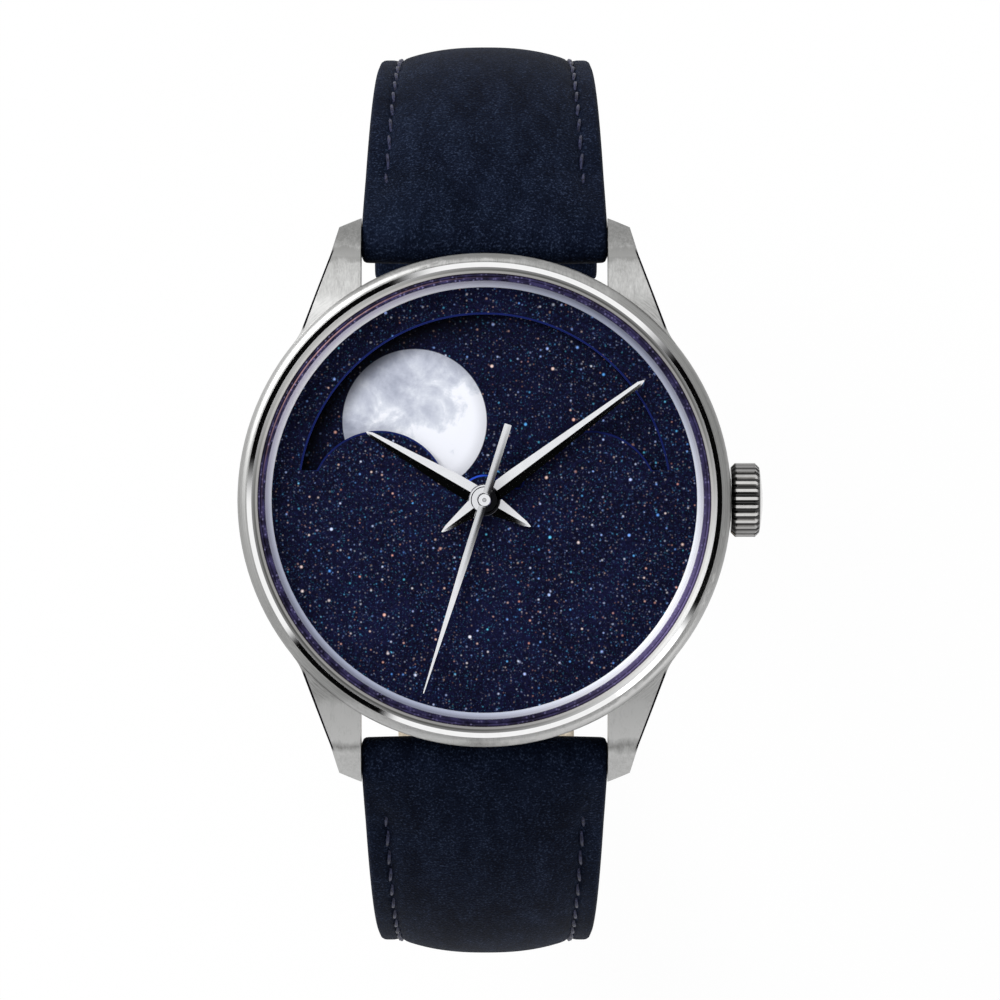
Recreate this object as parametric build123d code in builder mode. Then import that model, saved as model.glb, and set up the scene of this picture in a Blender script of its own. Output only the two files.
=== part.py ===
from build123d import *
import math
import os

os.makedirs("parts", exist_ok=True)

# Frame: the origin is the middle of the case back's outer face, +Z goes out through the dial,
# +Y towards 12 o'clock and +X towards the crown. All lengths are in millimetres.

# Fits and small shared sizes
slip = 0.02            # radial play of pieces that are pressed or sealed together
play = 0.03            # radial play of turning arbors
overrun = 0.5          # how far a cut runs past the face it opens
diagonal_share = math.sqrt(0.5)

# Case
case_radius = 20.0
case_foot_taper = 1.4
case_belly_taper = 0.28
case_belly_z = 4.4
shoulder_round_inset = 0.21
shoulder_round_z = 8.08
case_wall = 3.7
foot_z = 0.6
shoulder_z = 7.6
case_top_z = 8.3
lug_gap = 20.1
lug_reach = 3.0
lug_tip_width = 1.77
lug_nose_width = 2.42
lug_root_width = 4.69
lug_tip_slope = 0.8
lug_nose_length = 3.0
lug_flank_length = 9.07
lug_blend_angle = 50.7
lug_root_inset = 8.25
bar_inset = 2.0
bar_z = 3.0
recess_gap = 2.25
recess_top_z = 5.2

# Case back
flange_ledge = 1.0
flange_thickness = 1.25
back_window_radius = 12.6
back_glass_radius = 13.3
back_glass_thickness = 0.75
back_ledge = 0.45
back_boss_wall = 1.0
back_boss_top_z = 2.4
back_chamfer = 0.3
back_seal_margin = 0.2
back_seal_width = 0.45
back_seal_height = 0.35
notch_count = 6
notch_width = 2.2
notch_depth = 0.9

# Bezel, crystal and dial
bezel_inset = 0.65
bezel_flank = 0.49
bezel_flat = 0.5
bezel_height = 2.5
bezel_skirt = 1.0
bezel_round_share = 0.68
gasket_wall = 0.31
gasket_lip = 0.05
rehaut_inset = 1.16
rehaut_wall = 0.55
rehaut_height = 1.25
rehaut_foot = 0.25
crystal_edge = 0.7
crystal_bevel = 0.73
crystal_bevel_height = 0.6
crystal_rise = 0.65
crystal_inner_rise = 0.65
dial_inset = 0.56
dial_thickness = 0.45
dial_hole_radius = 1.0

# Moon aperture
moon_orbit = 8.49
moon_radius = 5.85
aperture_radius = 15.0
hump_radius = 5.6
hub_radius = 2.75
aperture_tip_y = 2.4
aperture_tip_round = 0.5
aperture_inner_half = 4.0
aperture_inner_y = 1.5
aperture_inner_round = 0.35
aperture_bevel = 0.15
moon_disc_margin = 0.6
moon_disc_thickness = 0.25

# Hands, with clock angles in degrees
hour_angle = 300.0
minute_angle = 53.2
seconds_angle = 197.5
hour_length = 10.7
hour_width = 1.45
minute_length = 15.9
minute_width = 1.27
hand_tail = 4.3
hand_point = 0.12
hand_thickness = 0.3
seconds_length = 16.35
seconds_width = 0.42
seconds_tail = 5.9
seconds_tail_width = 0.5
seconds_hub_radius = 0.5
seconds_thickness = 0.22
hour_hub_radius = 1.3
minute_hub_radius = 1.1
hour_pipe_radius = 0.85
cannon_radius = 0.55
centre_tube_radius = 0.34
seconds_arbor_radius = 0.13
point_height_share = 0.5
blade_edge_share = 0.3
hand_gap = 0.3

# Crown
crown_radius = 3.1
crown_length = 2.55
crown_gap = 0.03
crown_chamfer = 0.35
crown_flutes = 28
flute_depth = 0.24
flute_land_share = 0.55
crown_cup_radius = 1.75
crown_cup_depth = 1.5
crown_travel = 1.0
crown_tube_radius = 1.2
stem_radius = 0.5
stem_end_x = 9.0
winding_pinion_teeth = 12
winding_pinion_radius = 0.8
winding_pinion_length = 1.0
winding_pinion_gap = 0.2
crown_seal_length = 0.45
crown_tube_reach = 1.1
lever_x = 11.6
lever_plate_width = 0.8
lever_plate_length = 1.9
lever_plate_thickness = 0.2
lever_prong = 0.2

# Movement, from the back upwards
plate_radius = 13.2
ring_gap = 0.1
plate_thickness = 1.0
bridge_thickness = 0.8
cock_thickness = 0.6
rotor_radius = 12.3
rotor_rim = 2.6
rotor_thickness = 0.4
rotor_rim_height = 0.9
rotor_bearing_radius = 1.9
ratchet_thickness = 0.3
wheel_thickness = 0.15
layer = 0.1
barrel_height = 0.8
star_thickness = 0.3
balance_thickness = 0.22
arbor_radius = 0.18
pinion_height = 0.3

# Gear train: modules are pitch diameter over tooth count
barrel_teeth, centre_pinion_teeth, barrel_module = 60, 10, 0.186
centre_teeth, third_pinion_teeth, centre_module = 64, 8, 0.1278
third_teeth, seconds_pinion_teeth = 60, 8
fourth_teeth, escape_pinion_teeth, fourth_module = 60, 6, 0.12
escape_teeth, escape_radius = 15, 1.9
motion_module = 0.15
cannon_teeth, minute_wheel_teeth = 10, 30
minute_pinion_teeth, hour_teeth = 8, 32
hour_pinion_teeth, day_teeth, day_module = 12, 24, 0.2
star_teeth, star_radius = 59, 2.6
star_depth_share = 0.7
tooth_tip_share = 0.38
tooth_depth_modules = 2.0
window_shares = ((0.32, -0.6), (0.8, -0.82), (0.86, 0.0), (0.8, 0.82), (0.32, 0.6))
ratchet_teeth, ratchet_radius = 36, 3.1
balance_radius = 3.3
balance_rim = 0.4
balance_well = 0.7
hairspring_radius = 2.1
hairspring_turns = 5
hairspring_width = 0.07
hairspring_height = 0.12
roller_radius = 0.4
pallet_half_angle = 30.0
pallet_clearance = 0.12
lever_width = 0.22
escape_tooth_shares = ((0.68, 0.0), (1.0, 0.3), (1.0, 0.42), (0.68, 0.62))
escape_window_share = 0.65
wheel_windows = 5
barrel_drum_radius = 5.1
barrel_arbor_radius = 0.5
post_radius = 0.25
finger_width = 0.16
jumper_foot_distance = 6.5
jumper_bearing = 250.0
stem_slot_half = 1.3
cock_foot_distance = 11.4
cock_foot_bearing = 226.0
cock_foot_radius = 1.5
cock_eye_radius = 1.2
cock_arm_half = 0.9
cock_gap = 0.2
pillar_distance = 11.8
pillar_bearings = (60.0, 325.0, 185.0)
pillar_radius = 1.1
screw_head_radius = 0.85
screw_head_height = 0.35
screw_radius = 0.45
screw_length = 1.8
screw_slot_width = 0.22
rotor_window_place = 6.6
rotor_window_bearings = (40.0, 90.0, 140.0)
rotor_window_radius = 1.7
rotor_stud_radius = 1.1
rotor_screw_radius = 1.5
rotor_screw_height = 0.2
click_radius = 0.5
click_bearing = 200.0
click_lean = 60.0

# Bearings of the axes round the centre, in degrees counter-clockwise from +X
barrel_bearing = 125.0
third_bearing = -20.0
escape_bearing = 260.0
pallet_bearing, pallet_distance = 258.0, 6.44
balance_bearing, balance_distance = 257.0, 9.34
minute_wheel_bearing = 300.0
day_bearing = 150.0

# Strap, buckle and spring bars
strap_width = 19.8
strap_end_width = 16.0
strap_thickness = 3.6
strap_end_thickness = 2.6
strap_taper_length = 75.0
strap_tail_length = 115.0
strap_loop_radius = 1.8
strap_heading = 42.0
strap_side_bend = 50.0
buckle_bend = 21.1
tail_bend = 47.0
lining_share = 0.36
side_wall_share = 0.62
spring_bar_radius = 0.75
spring_bar_tip_radius = 0.4
spring_bar_tip_length = 0.9
spring_bar_shoulder = 0.35
strap_bore_play = 0.07
hole_count = 7
hole_radius = 0.95
hole_pitch = 6.0
first_hole_from_tip = 25.0
keeper_thickness = 1.1
keeper_width = 5.0
keeper_inner_width = 17.6
keeper_inner_height = 5.4
keeper_gap = 0.25
keeper_round = 0.5
lining_start = 2.1
tail_round = 8.0
side_stations = 4
far_stations = 3
buckle_round = 1.2
buckle_heel = 1.2
tongue_rise_share = 0.06
tongue_overhang = 0.5
fixed_keeper_from_bar = 6.0
loose_keeper_from_bar = 14.5
buckle_bar_radius = 0.7
buckle_loop_radius = 1.3
buckle_inner_width = 16.4
buckle_arm_width = 1.7
buckle_length = 11.0
buckle_thickness = 1.5
buckle_front_width = 2.4
tongue_width = 1.9
tongue_loop_radius = 1.15
tongue_thickness = 0.8
slot_width = 2.5
slot_length = 5.0

# Distances from the centre that follow from the case's radius
case_foot_radius = case_radius - case_foot_taper
case_belly_radius = case_radius - case_belly_taper
shoulder_round_radius = case_radius - shoulder_round_inset
bore_radius = case_radius - case_wall
flange_radius = bore_radius + flange_ledge
lug_tip_y = case_radius + lug_reach
lug_root_y = case_radius - lug_root_inset
bar_y = lug_tip_y - bar_inset
recess_wall_y = bar_y - recess_gap
bezel_radius = case_radius - bezel_inset
bezel_flat_radius = bezel_radius - bezel_flank
gasket_radius = bezel_flat_radius - bezel_flat
rehaut_radius = gasket_radius - rehaut_inset
dial_radius = gasket_radius - dial_inset
crown_start_x = case_radius + crown_gap

# Heights that follow from the sizes above
back_glass_top = back_ledge + back_glass_thickness
rotor_z = back_glass_top + hand_gap
bridge_z = rotor_z + rotor_thickness + hand_gap + ratchet_thickness + 2 * slip + hand_gap
bridge_top = bridge_z + bridge_thickness
fourth_z = bridge_top + layer
third_z = fourth_z + wheel_thickness + layer
barrel_z = third_z
barrel_rim_z = barrel_z + barrel_height / 2
escape_z = third_z + wheel_thickness + 2 * layer
centre_z = barrel_z + barrel_height + layer
balance_z = bridge_z + cock_thickness + hairspring_height + 3 * layer
plate_z = centre_z + wheel_thickness + 3 * layer
plate_top = plate_z + plate_thickness
motion_z = plate_top + layer
hour_wheel_z = motion_z + pinion_height + layer
day_z = hour_wheel_z + wheel_thickness + layer
star_z = day_z + wheel_thickness + layer
moon_z = star_z + star_thickness
dial_z = case_top_z
dial_top = dial_z + dial_thickness
hour_hand_z = dial_top + hand_gap
minute_hand_z = hour_hand_z + hand_thickness + 0.7 * hand_gap
seconds_hand_z = minute_hand_z + hand_thickness + 0.7 * hand_gap
rehaut_top = dial_top + rehaut_height
bezel_top = case_top_z + bezel_height
crystal_z = rehaut_top + slip
crown_z = (foot_z + case_top_z) / 2
crystal_radius = gasket_radius - gasket_wall - slip
seal_outer = flange_radius - back_seal_margin
moon_bore = hour_pipe_radius + play


def polar(distance, bearing):
    """A point in the plane at a distance and a bearing from the centre."""
    angle = math.radians(bearing)
    return (distance * math.cos(angle), distance * math.sin(angle))


def clock(distance, hour_degrees):
    """A point in the plane at a distance and a clock angle from the centre."""
    return polar(distance, 90 - hour_degrees)


def level(height, centre=(0, 0)):
    """The horizontal plane at a height, with its origin above a point."""
    return Plane(origin=(centre[0], centre[1], height))


def save(part, name):
    """Labels a finished piece and writes its file."""
    part.label = name
    export_step(part, f"parts/{name}.step")


def dome_middle(radius, rise):
    """The halfway point of a dome's section, from its crown on the axis to its rim at height zero."""
    sphere = (radius**2 + rise**2) / (2 * rise)
    half_angle = math.asin(radius / sphere) / 2
    return (sphere * math.sin(half_angle), sphere * math.cos(half_angle) - sphere + rise)


def ring(bottom, top, inner, outer, centre=(0, 0)):
    """A flat ring, or a disc where the inner radius is zero."""
    with BuildPart() as band:
        with BuildSketch(level(bottom, centre)):
            Circle(outer)
            if inner > 0:
                Circle(inner, mode=Mode.SUBTRACT)
        extrude(amount=top - bottom)
    return band.part


def turned(points, centre=(0, 0)):
    """A solid of revolution about the vertical through a point, from (radius, height) points."""
    with BuildPart() as body:
        with BuildSketch(Plane(origin=(centre[0], centre[1], 0), x_dir=(1, 0, 0), z_dir=(0, -1, 0))):
            with BuildLine():
                Polyline(*points, close=True)
            make_face()
        revolve(axis=Axis((centre[0], centre[1], 0), (0, 0, 1)))
    return body.part


def tooth_points(teeth, pitch_radius, depth, phase, land_share=0.0):
    """Outline points of a wheel: a tip and a root for every tooth, the tip as wide as its land."""
    pitch = 360 / teeth
    tip = pitch_radius + depth * tooth_tip_share
    root = pitch_radius - depth * (1 - tooth_tip_share)
    points = []
    for index in range(teeth):
        middle = phase + index * pitch
        if land_share > 0:
            points.append(polar(tip, middle - pitch * land_share / 2))
        points.append(polar(tip, middle + pitch * land_share / 2))
        points.append(polar(root, middle + pitch / 2))
    return points


def window_points(pitch_radius, windows):
    """The outline of one window between two spokes, on the +X side of a wheel."""
    half_angle = 180 / windows
    return [
        polar(pitch_radius * radius_share, half_angle * angle_share)
        for radius_share, angle_share in window_shares
    ]


def gear(teeth, pitch_radius, depth, phase, bottom, top, centre, bore=0.0, windows=0):
    """A flat toothed wheel, with windows between its spokes where it has any."""
    with BuildPart() as wheel:
        with BuildSketch(level(bottom, centre)):
            with BuildLine():
                Polyline(*tooth_points(teeth, pitch_radius, depth, phase), close=True)
            make_face()
            if bore > 0:
                Circle(bore, mode=Mode.SUBTRACT)
            if windows:
                with PolarLocations(0, windows):
                    Polygon(*window_points(pitch_radius, windows), align=None, mode=Mode.SUBTRACT)
        extrude(amount=top - bottom)
    return wheel.part


def mesh_phase(phase, teeth, bearing, other_teeth):
    """The phase of a second wheel whose gap meets a tooth of the first, at a bearing."""
    return bearing + 180 + 180 / other_teeth + (bearing - phase) * teeth / other_teeth


# The side of a lug, as shares of the lug tip's distance and of the shoulder's height
lug_crown_shares = ((0.511, 1.03), (0.717, 0.96), (0.859, 0.809))
lug_nose_shares = ((0.859, 0.809), (0.952, 0.625), (1.0, 0.33))
lug_end_shares = ((1.0, 0.33), (0.993, 0.158), (0.952, 0.09))
lug_foot_shares = ((0.952, 0.09), (0.804, 0.165), (0.674, 0.25), (0.511, 0.25))


def lug_side(shares):
    """Side-view points of a lug from its shares."""
    return [(y_share * lug_tip_y, z_share * shoulder_z) for y_share, z_share in shares]


def lug_solid():
    """One lug, at 1 o'clock: its plan cut by its side profile."""
    inner_x = lug_gap / 2
    nose = (inner_x + lug_nose_width, lug_tip_y - lug_nose_length)
    flank = (inner_x + lug_root_width, lug_tip_y - lug_flank_length)
    blend = polar(case_radius, 90 - lug_blend_angle)
    with BuildPart() as lug:
        with BuildSketch():
            with BuildLine():
                Polyline(
                    (inner_x, lug_root_y),
                    (inner_x, lug_tip_y),
                    (inner_x + lug_tip_width, lug_tip_y - lug_tip_slope),
                    nose,
                    flank,
                )
                TangentArc(flank, blend, tangent=(flank[0] - nose[0], flank[1] - nose[1]))
                Polyline(blend, (inner_x + lug_root_width, lug_root_y), (inner_x, lug_root_y))
            make_face()
        extrude(amount=case_top_z)
        with BuildSketch(Plane.YZ):
            with BuildLine():
                ThreePointArc(*lug_side(lug_crown_shares))
                ThreePointArc(*lug_side(lug_nose_shares))
                ThreePointArc(*lug_side(lug_end_shares))
                ThreePointArc(*lug_side(lug_foot_shares[:3]))
                Polyline(*lug_side(lug_foot_shares[2:] + lug_crown_shares[:1]))
            make_face()
        extrude(amount=case_radius, mode=Mode.INTERSECT)
    return lug.part


# Case middle: a turned ring with four lugs, bored for the movement, the crown tube and the bars
lug = lug_solid()
with BuildPart() as case_middle:
    with BuildSketch(Plane.XZ):
        with BuildLine():
            Polyline(
                (case_foot_radius, foot_z),
                (flange_radius + slip, foot_z),
                (flange_radius + slip, flange_thickness),
                (bore_radius, flange_thickness),
                (bore_radius, case_top_z),
                (bezel_radius, case_top_z),
            )
            ThreePointArc(
                (bezel_radius, case_top_z),
                (shoulder_round_radius, shoulder_round_z),
                (case_radius, shoulder_z),
            )
            ThreePointArc(
                (case_radius, shoulder_z),
                (case_belly_radius, case_belly_z),
                (case_foot_radius, foot_z),
            )
        make_face()
    revolve(axis=Axis.Z)
    add([lug, lug.mirror(Plane.XZ), lug.mirror(Plane.YZ), lug.mirror(Plane.XZ).mirror(Plane.YZ)])
    with BuildSketch(level(-overrun)):
        Circle(bore_radius)
    extrude(amount=case_top_z + 2 * overrun, mode=Mode.SUBTRACT)
    with BuildSketch(level(0)):
        Circle(flange_radius + slip)
    extrude(amount=flange_thickness, mode=Mode.SUBTRACT)
    with BuildSketch(level(flange_thickness)):
        Circle(seal_outer + slip)
        Circle(seal_outer - back_seal_width - slip, mode=Mode.SUBTRACT)
    extrude(amount=back_seal_height + slip, mode=Mode.SUBTRACT)
    recess_depth = lug_tip_y - recess_wall_y
    for side in (1, -1):
        with BuildSketch(level(0, (0, side * (recess_wall_y + recess_depth / 2)))):
            Rectangle(lug_gap, recess_depth)
        extrude(amount=recess_top_z, mode=Mode.SUBTRACT)
    for side in (1, -1):
        bar_plane = Plane(origin=(0, side * bar_y, bar_z), x_dir=(0, 1, 0), z_dir=(1, 0, 0))
        with BuildSketch(bar_plane):
            Circle(spring_bar_tip_radius + slip)
        extrude(amount=lug_gap / 2 + spring_bar_tip_length, both=True, mode=Mode.SUBTRACT)
    with BuildSketch(Plane(origin=(0, 0, crown_z), x_dir=(0, 1, 0), z_dir=(1, 0, 0))):
        Circle(crown_tube_radius)
    extrude(amount=case_radius + overrun, mode=Mode.SUBTRACT)
save(case_middle.part, "case_middle")

# Case back: a screwed ring with a window, its glass and its seal
boss_radius = bore_radius - 4 * slip
with BuildPart() as case_back:
    add(
        turned(
            [
                (back_window_radius, 0),
                (flange_radius - back_chamfer, 0),
                (flange_radius, back_chamfer),
                (flange_radius, flange_thickness),
                (boss_radius, flange_thickness),
                (boss_radius, back_boss_top_z),
                (boss_radius - back_boss_wall, back_boss_top_z),
                (boss_radius - back_boss_wall, flange_thickness),
                (back_glass_radius, flange_thickness),
                (back_glass_radius, back_ledge),
                (back_window_radius, back_ledge),
            ]
        )
    )
    with BuildSketch():
        with PolarLocations(flange_radius, notch_count):
            Rectangle(2 * notch_depth, notch_width)
    extrude(amount=flange_thickness / 2, mode=Mode.SUBTRACT)
save(case_back.part, "case_back")

save(
    turned(
        [
            (0, 0),
            (back_window_radius - slip, 0),
            (back_window_radius - slip, back_ledge),
            (back_glass_radius - slip, back_ledge),
            (back_glass_radius - slip, back_glass_top),
            (0, back_glass_top),
        ]
    ),
    "back_crystal",
)

save(
    ring(flange_thickness, flange_thickness + back_seal_height, seal_outer - back_seal_width, seal_outer),
    "back_gasket",
)

# Bezel: flat polished top, then a steep round flank down to the case shoulder
bezel_bore = gasket_radius + slip
with BuildPart() as bezel:
    with BuildSketch(Plane.XZ):
        with BuildLine():
            Polyline(
                (bezel_radius, case_top_z + bezel_skirt),
                (bezel_radius, case_top_z),
                (bezel_bore, case_top_z),
                (bezel_bore, bezel_top),
                (bezel_flat_radius, bezel_top),
            )
            ThreePointArc(
                (bezel_flat_radius, bezel_top),
                (
                    bezel_flat_radius + (bezel_radius - bezel_flat_radius) * diagonal_share,
                    case_top_z + bezel_skirt + (bezel_height - bezel_skirt) * bezel_round_share,
                ),
                (bezel_radius, case_top_z + bezel_skirt),
            )
        make_face()
    revolve(axis=Axis.Z)
save(bezel.part, "bezel")

# Crystal seal, inner flange ring and domed crystal
gasket_bore = gasket_radius - gasket_wall
save(ring(case_top_z, bezel_top + gasket_lip, gasket_bore, gasket_radius), "crystal_gasket")

rehaut_outer = rehaut_radius + rehaut_wall
save(
    turned(
        [
            (rehaut_radius, dial_top),
            (rehaut_outer + rehaut_foot, dial_top),
            (rehaut_outer + rehaut_foot, rehaut_top),
            (rehaut_outer, rehaut_top),
        ]
    ),
    "rehaut",
)

with BuildPart() as crystal:
    rim_z = crystal_z + crystal_edge
    bevel_z = rim_z + crystal_bevel_height
    bevel_radius = crystal_radius - crystal_bevel
    outer_middle = dome_middle(bevel_radius, crystal_rise)
    inner_middle = dome_middle(rehaut_radius, crystal_inner_rise)
    with BuildSketch(Plane.XZ):
        with BuildLine():
            Polyline(
                (0, crystal_z + crystal_inner_rise),
                (0, bevel_z + crystal_rise),
            )
            ThreePointArc(
                (0, bevel_z + crystal_rise),
                (outer_middle[0], bevel_z + outer_middle[1]),
                (bevel_radius, bevel_z),
            )
            Polyline(
                (bevel_radius, bevel_z),
                (crystal_radius, rim_z),
                (crystal_radius, crystal_z),
                (rehaut_radius, crystal_z),
            )
            ThreePointArc(
                (rehaut_radius, crystal_z),
                (inner_middle[0], crystal_z + inner_middle[1]),
                (0, crystal_z + crystal_inner_rise),
            )
        make_face()
    revolve(axis=Axis.Z)
save(crystal.part, "crystal")

# Dial: a thin disc with the moon aperture and a bevel round its edge
with BuildPart() as dial:
    with BuildSketch(level(dial_z)):
        Circle(dial_radius)
        Circle(dial_hole_radius, mode=Mode.SUBTRACT)
        with BuildSketch(mode=Mode.PRIVATE) as aperture:
            Circle(aperture_radius)
            with Locations((0, aperture_tip_y - aperture_radius)):
                Rectangle(2 * aperture_radius, 2 * aperture_radius, mode=Mode.SUBTRACT)
            with Locations((moon_orbit, 0), (-moon_orbit, 0)):
                Circle(hump_radius, mode=Mode.SUBTRACT)
            Circle(hub_radius, mode=Mode.SUBTRACT)
            Rectangle(2 * aperture_inner_half, 2 * aperture_inner_y, mode=Mode.SUBTRACT)
            corners = aperture.vertices().sort_by(Axis.X)
            fillet(corners[:2] + corners[-2:], aperture_tip_round)
        add(aperture.sketch, mode=Mode.SUBTRACT)
    extrude(amount=dial_thickness)
    top_face = dial.faces().sort_by(Axis.Z)[-1]
    window = sorted(top_face.inner_wires(), key=lambda wire: wire.length)[-1]
    chamfer(window.edges(), aperture_bevel)
save(dial.part, "dial")

# Moon disc with the star wheel that drives it
with BuildPart() as moon_disc:
    add(ring(moon_z, moon_z + moon_disc_thickness, moon_bore, aperture_radius + moon_disc_margin))
save(moon_disc.part, "moon_disc")
star_depth = 2 * math.pi * star_radius / star_teeth * star_depth_share
save(
    gear(star_teeth, star_radius, star_depth, 0, star_z, moon_z, (0, 0), moon_bore),
    "moon_star_wheel",
)

# Hands: faceted blades with a ridge, pointed at both ends, on small hubs


def blade(angle, height, thickness, length, width, end_width):
    """Half a hand, from the centre out to its point, with a ridge along its top."""
    tip = clock(length, angle)
    outward = (tip[0], tip[1], 0)
    across = clock(1, angle + 90)
    across = (across[0], across[1], 0)
    with BuildPart() as half:
        for place, span, ridge in (
            ((0, 0, height), width, thickness),
            ((tip[0], tip[1], height), end_width, thickness * point_height_share),
        ):
            with BuildSketch(Plane(origin=place, x_dir=across, z_dir=outward)):
                Polygon(
                    (-span / 2, 0),
                    (-span / 2, -ridge * blade_edge_share),
                    (0, -ridge),
                    (span / 2, -ridge * blade_edge_share),
                    (span / 2, 0),
                    align=None,
                )
        loft()
    return half.part


def hand(name, angle, height, length, width, tail, tail_width, thickness, hub, bore):
    """A whole hand: its long blade, its tail, its hub and the bore for its pipe."""
    with BuildPart() as whole:
        add(blade(angle, height, thickness, length, width, hand_point))
        add(blade(angle + 180, height, thickness, tail, width, tail_width))
        with BuildSketch(level(height)):
            Circle(hub)
        extrude(amount=thickness)
        with BuildSketch(level(height)):
            Circle(bore)
        extrude(amount=thickness + overrun, mode=Mode.SUBTRACT)
    save(whole.part, name)


hand(
    "hour_hand", hour_angle, hour_hand_z, hour_length, hour_width,
    hand_tail, hand_point, hand_thickness, hour_hub_radius, hour_pipe_radius,
)
hand(
    "minute_hand", minute_angle, minute_hand_z, minute_length, minute_width,
    hand_tail, hand_point, hand_thickness, minute_hub_radius, cannon_radius,
)
hand(
    "seconds_hand", seconds_angle, seconds_hand_z, seconds_length, seconds_width,
    seconds_tail, seconds_tail_width, seconds_thickness, seconds_hub_radius, seconds_arbor_radius,
)

# Axes of the movement and the phases at which their teeth mesh
centre = (0, 0)
barrel_axis = polar(barrel_module * (barrel_teeth + centre_pinion_teeth) / 2, barrel_bearing)
third_distance = centre_module * (centre_teeth + third_pinion_teeth) / 2
third_axis = polar(third_distance, third_bearing)
third_module = 2 * third_distance / (third_teeth + seconds_pinion_teeth)
escape_axis = polar(fourth_module * (fourth_teeth + escape_pinion_teeth) / 2, escape_bearing)
pallet_axis = polar(pallet_distance, pallet_bearing)
balance_axis = polar(balance_distance, balance_bearing)
minute_wheel_axis = polar(
    motion_module * (cannon_teeth + minute_wheel_teeth) / 2, minute_wheel_bearing
)
day_axis = polar(day_module * (hour_pinion_teeth + day_teeth) / 2, day_bearing)
cock_foot = polar(cock_foot_distance, cock_foot_bearing)
pillars = [polar(pillar_distance, bearing) for bearing in pillar_bearings]
jumper_foot = polar(jumper_foot_distance, jumper_bearing)


def wheel(teeth, module, phase, bottom, thickness, axis, bore=0.0, windows=0):
    """A toothed wheel or pinion of a module, at an axis."""
    pitch_radius = module * teeth / 2
    depth = module * tooth_depth_modules
    return gear(teeth, pitch_radius, depth, phase, bottom, bottom + thickness, axis, bore, windows)


def rod(bottom, top, radius, axis):
    """A plain round arbor at an axis."""
    return ring(bottom, top, 0, radius, axis)


def joined(name, *pieces):
    """Fuses the pieces of one arbor and writes them as one part."""
    with BuildPart() as whole:
        add(list(pieces))
    save(whole.part, name)


# Main plate, with its wells, the posts of the motion work and the bar that holds the moon jumper
with BuildPart() as main_plate:
    with BuildSketch(level(plate_z)):
        Circle(plate_radius)
        Circle(centre_tube_radius + play, mode=Mode.SUBTRACT)
    extrude(amount=plate_thickness)
    for axis, top in (
        (minute_wheel_axis, hour_wheel_z + wheel_thickness + layer),
        (day_axis, star_z + wheel_thickness),
        (jumper_foot, moon_z - layer),
    ):
        with BuildSketch(level(plate_top, axis)):
            Circle(post_radius)
        extrude(amount=top - plate_top)
save(main_plate.part, "main_plate")

# Movement ring: fills the space between the movement and the case
with BuildPart() as movement_ring:
    with BuildSketch(level(bridge_z)):
        Circle(bore_radius - ring_gap)
        Circle(plate_radius + ring_gap, mode=Mode.SUBTRACT)
        with Locations((plate_radius + ring_gap, 0)):
            Rectangle(2 * (bore_radius - plate_radius), 2 * stem_slot_half, mode=Mode.SUBTRACT)
    extrude(amount=plate_top - bridge_z)
save(movement_ring.part, "movement_ring")

# Train bridge: a three-quarter bridge on three pillars, open round the balance
with BuildPart() as train_bridge:
    with BuildSketch(level(bridge_z)):
        Circle(plate_radius)
        with Locations(balance_axis):
            Circle(balance_radius + balance_well, mode=Mode.SUBTRACT)
        with Locations(cock_foot):
            Circle(cock_foot_radius + cock_gap, mode=Mode.SUBTRACT)
        cock_line = (balance_axis[0] - cock_foot[0], balance_axis[1] - cock_foot[1])
        cock_turn = math.degrees(math.atan2(cock_line[1], cock_line[0]))
        cock_span = math.hypot(*cock_line)
        cock_middle = ((balance_axis[0] + cock_foot[0]) / 2, (balance_axis[1] + cock_foot[1]) / 2)
        with Locations(cock_middle):
            Rectangle(
                cock_span,
                2 * (cock_foot_radius + cock_gap),
                rotation=cock_turn,
                mode=Mode.SUBTRACT,
            )
        with Locations(barrel_axis):
            Circle(barrel_arbor_radius + play, mode=Mode.SUBTRACT)
    extrude(amount=bridge_thickness)
    with BuildSketch(level(bridge_top)):
        with Locations(*pillars):
            Circle(pillar_radius)
    extrude(amount=plate_z - bridge_top)
    with BuildSketch(level(bridge_z)):
        with Locations(*pillars):
            Circle(screw_head_radius + slip)
    extrude(amount=screw_head_height + slip, mode=Mode.SUBTRACT)
    with BuildSketch(level(bridge_z)):
        with Locations(*pillars):
            Circle(screw_radius + slip)
    extrude(amount=screw_length, mode=Mode.SUBTRACT)
save(train_bridge.part, "train_bridge")

# Balance cock: one foot, and an arm that ends over the balance staff
with BuildPart() as balance_cock:
    with BuildSketch(level(bridge_z)):
        with Locations(cock_foot):
            Circle(cock_foot_radius)
        with Locations(balance_axis):
            Circle(cock_eye_radius)
        with Locations(cock_middle):
            Rectangle(cock_span, 2 * cock_arm_half, rotation=cock_turn)
    extrude(amount=cock_thickness)
    with BuildSketch(level(bridge_z + cock_thickness, cock_foot)):
        Circle(cock_foot_radius)
    extrude(amount=plate_z - bridge_z - cock_thickness)
    with BuildSketch(level(bridge_z, cock_foot)):
        Circle(screw_head_radius + slip)
    extrude(amount=screw_head_height + slip, mode=Mode.SUBTRACT)
    with BuildSketch(level(bridge_z, cock_foot)):
        Circle(screw_radius + slip)
    extrude(amount=screw_length, mode=Mode.SUBTRACT)
save(balance_cock.part, "balance_cock")

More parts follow.
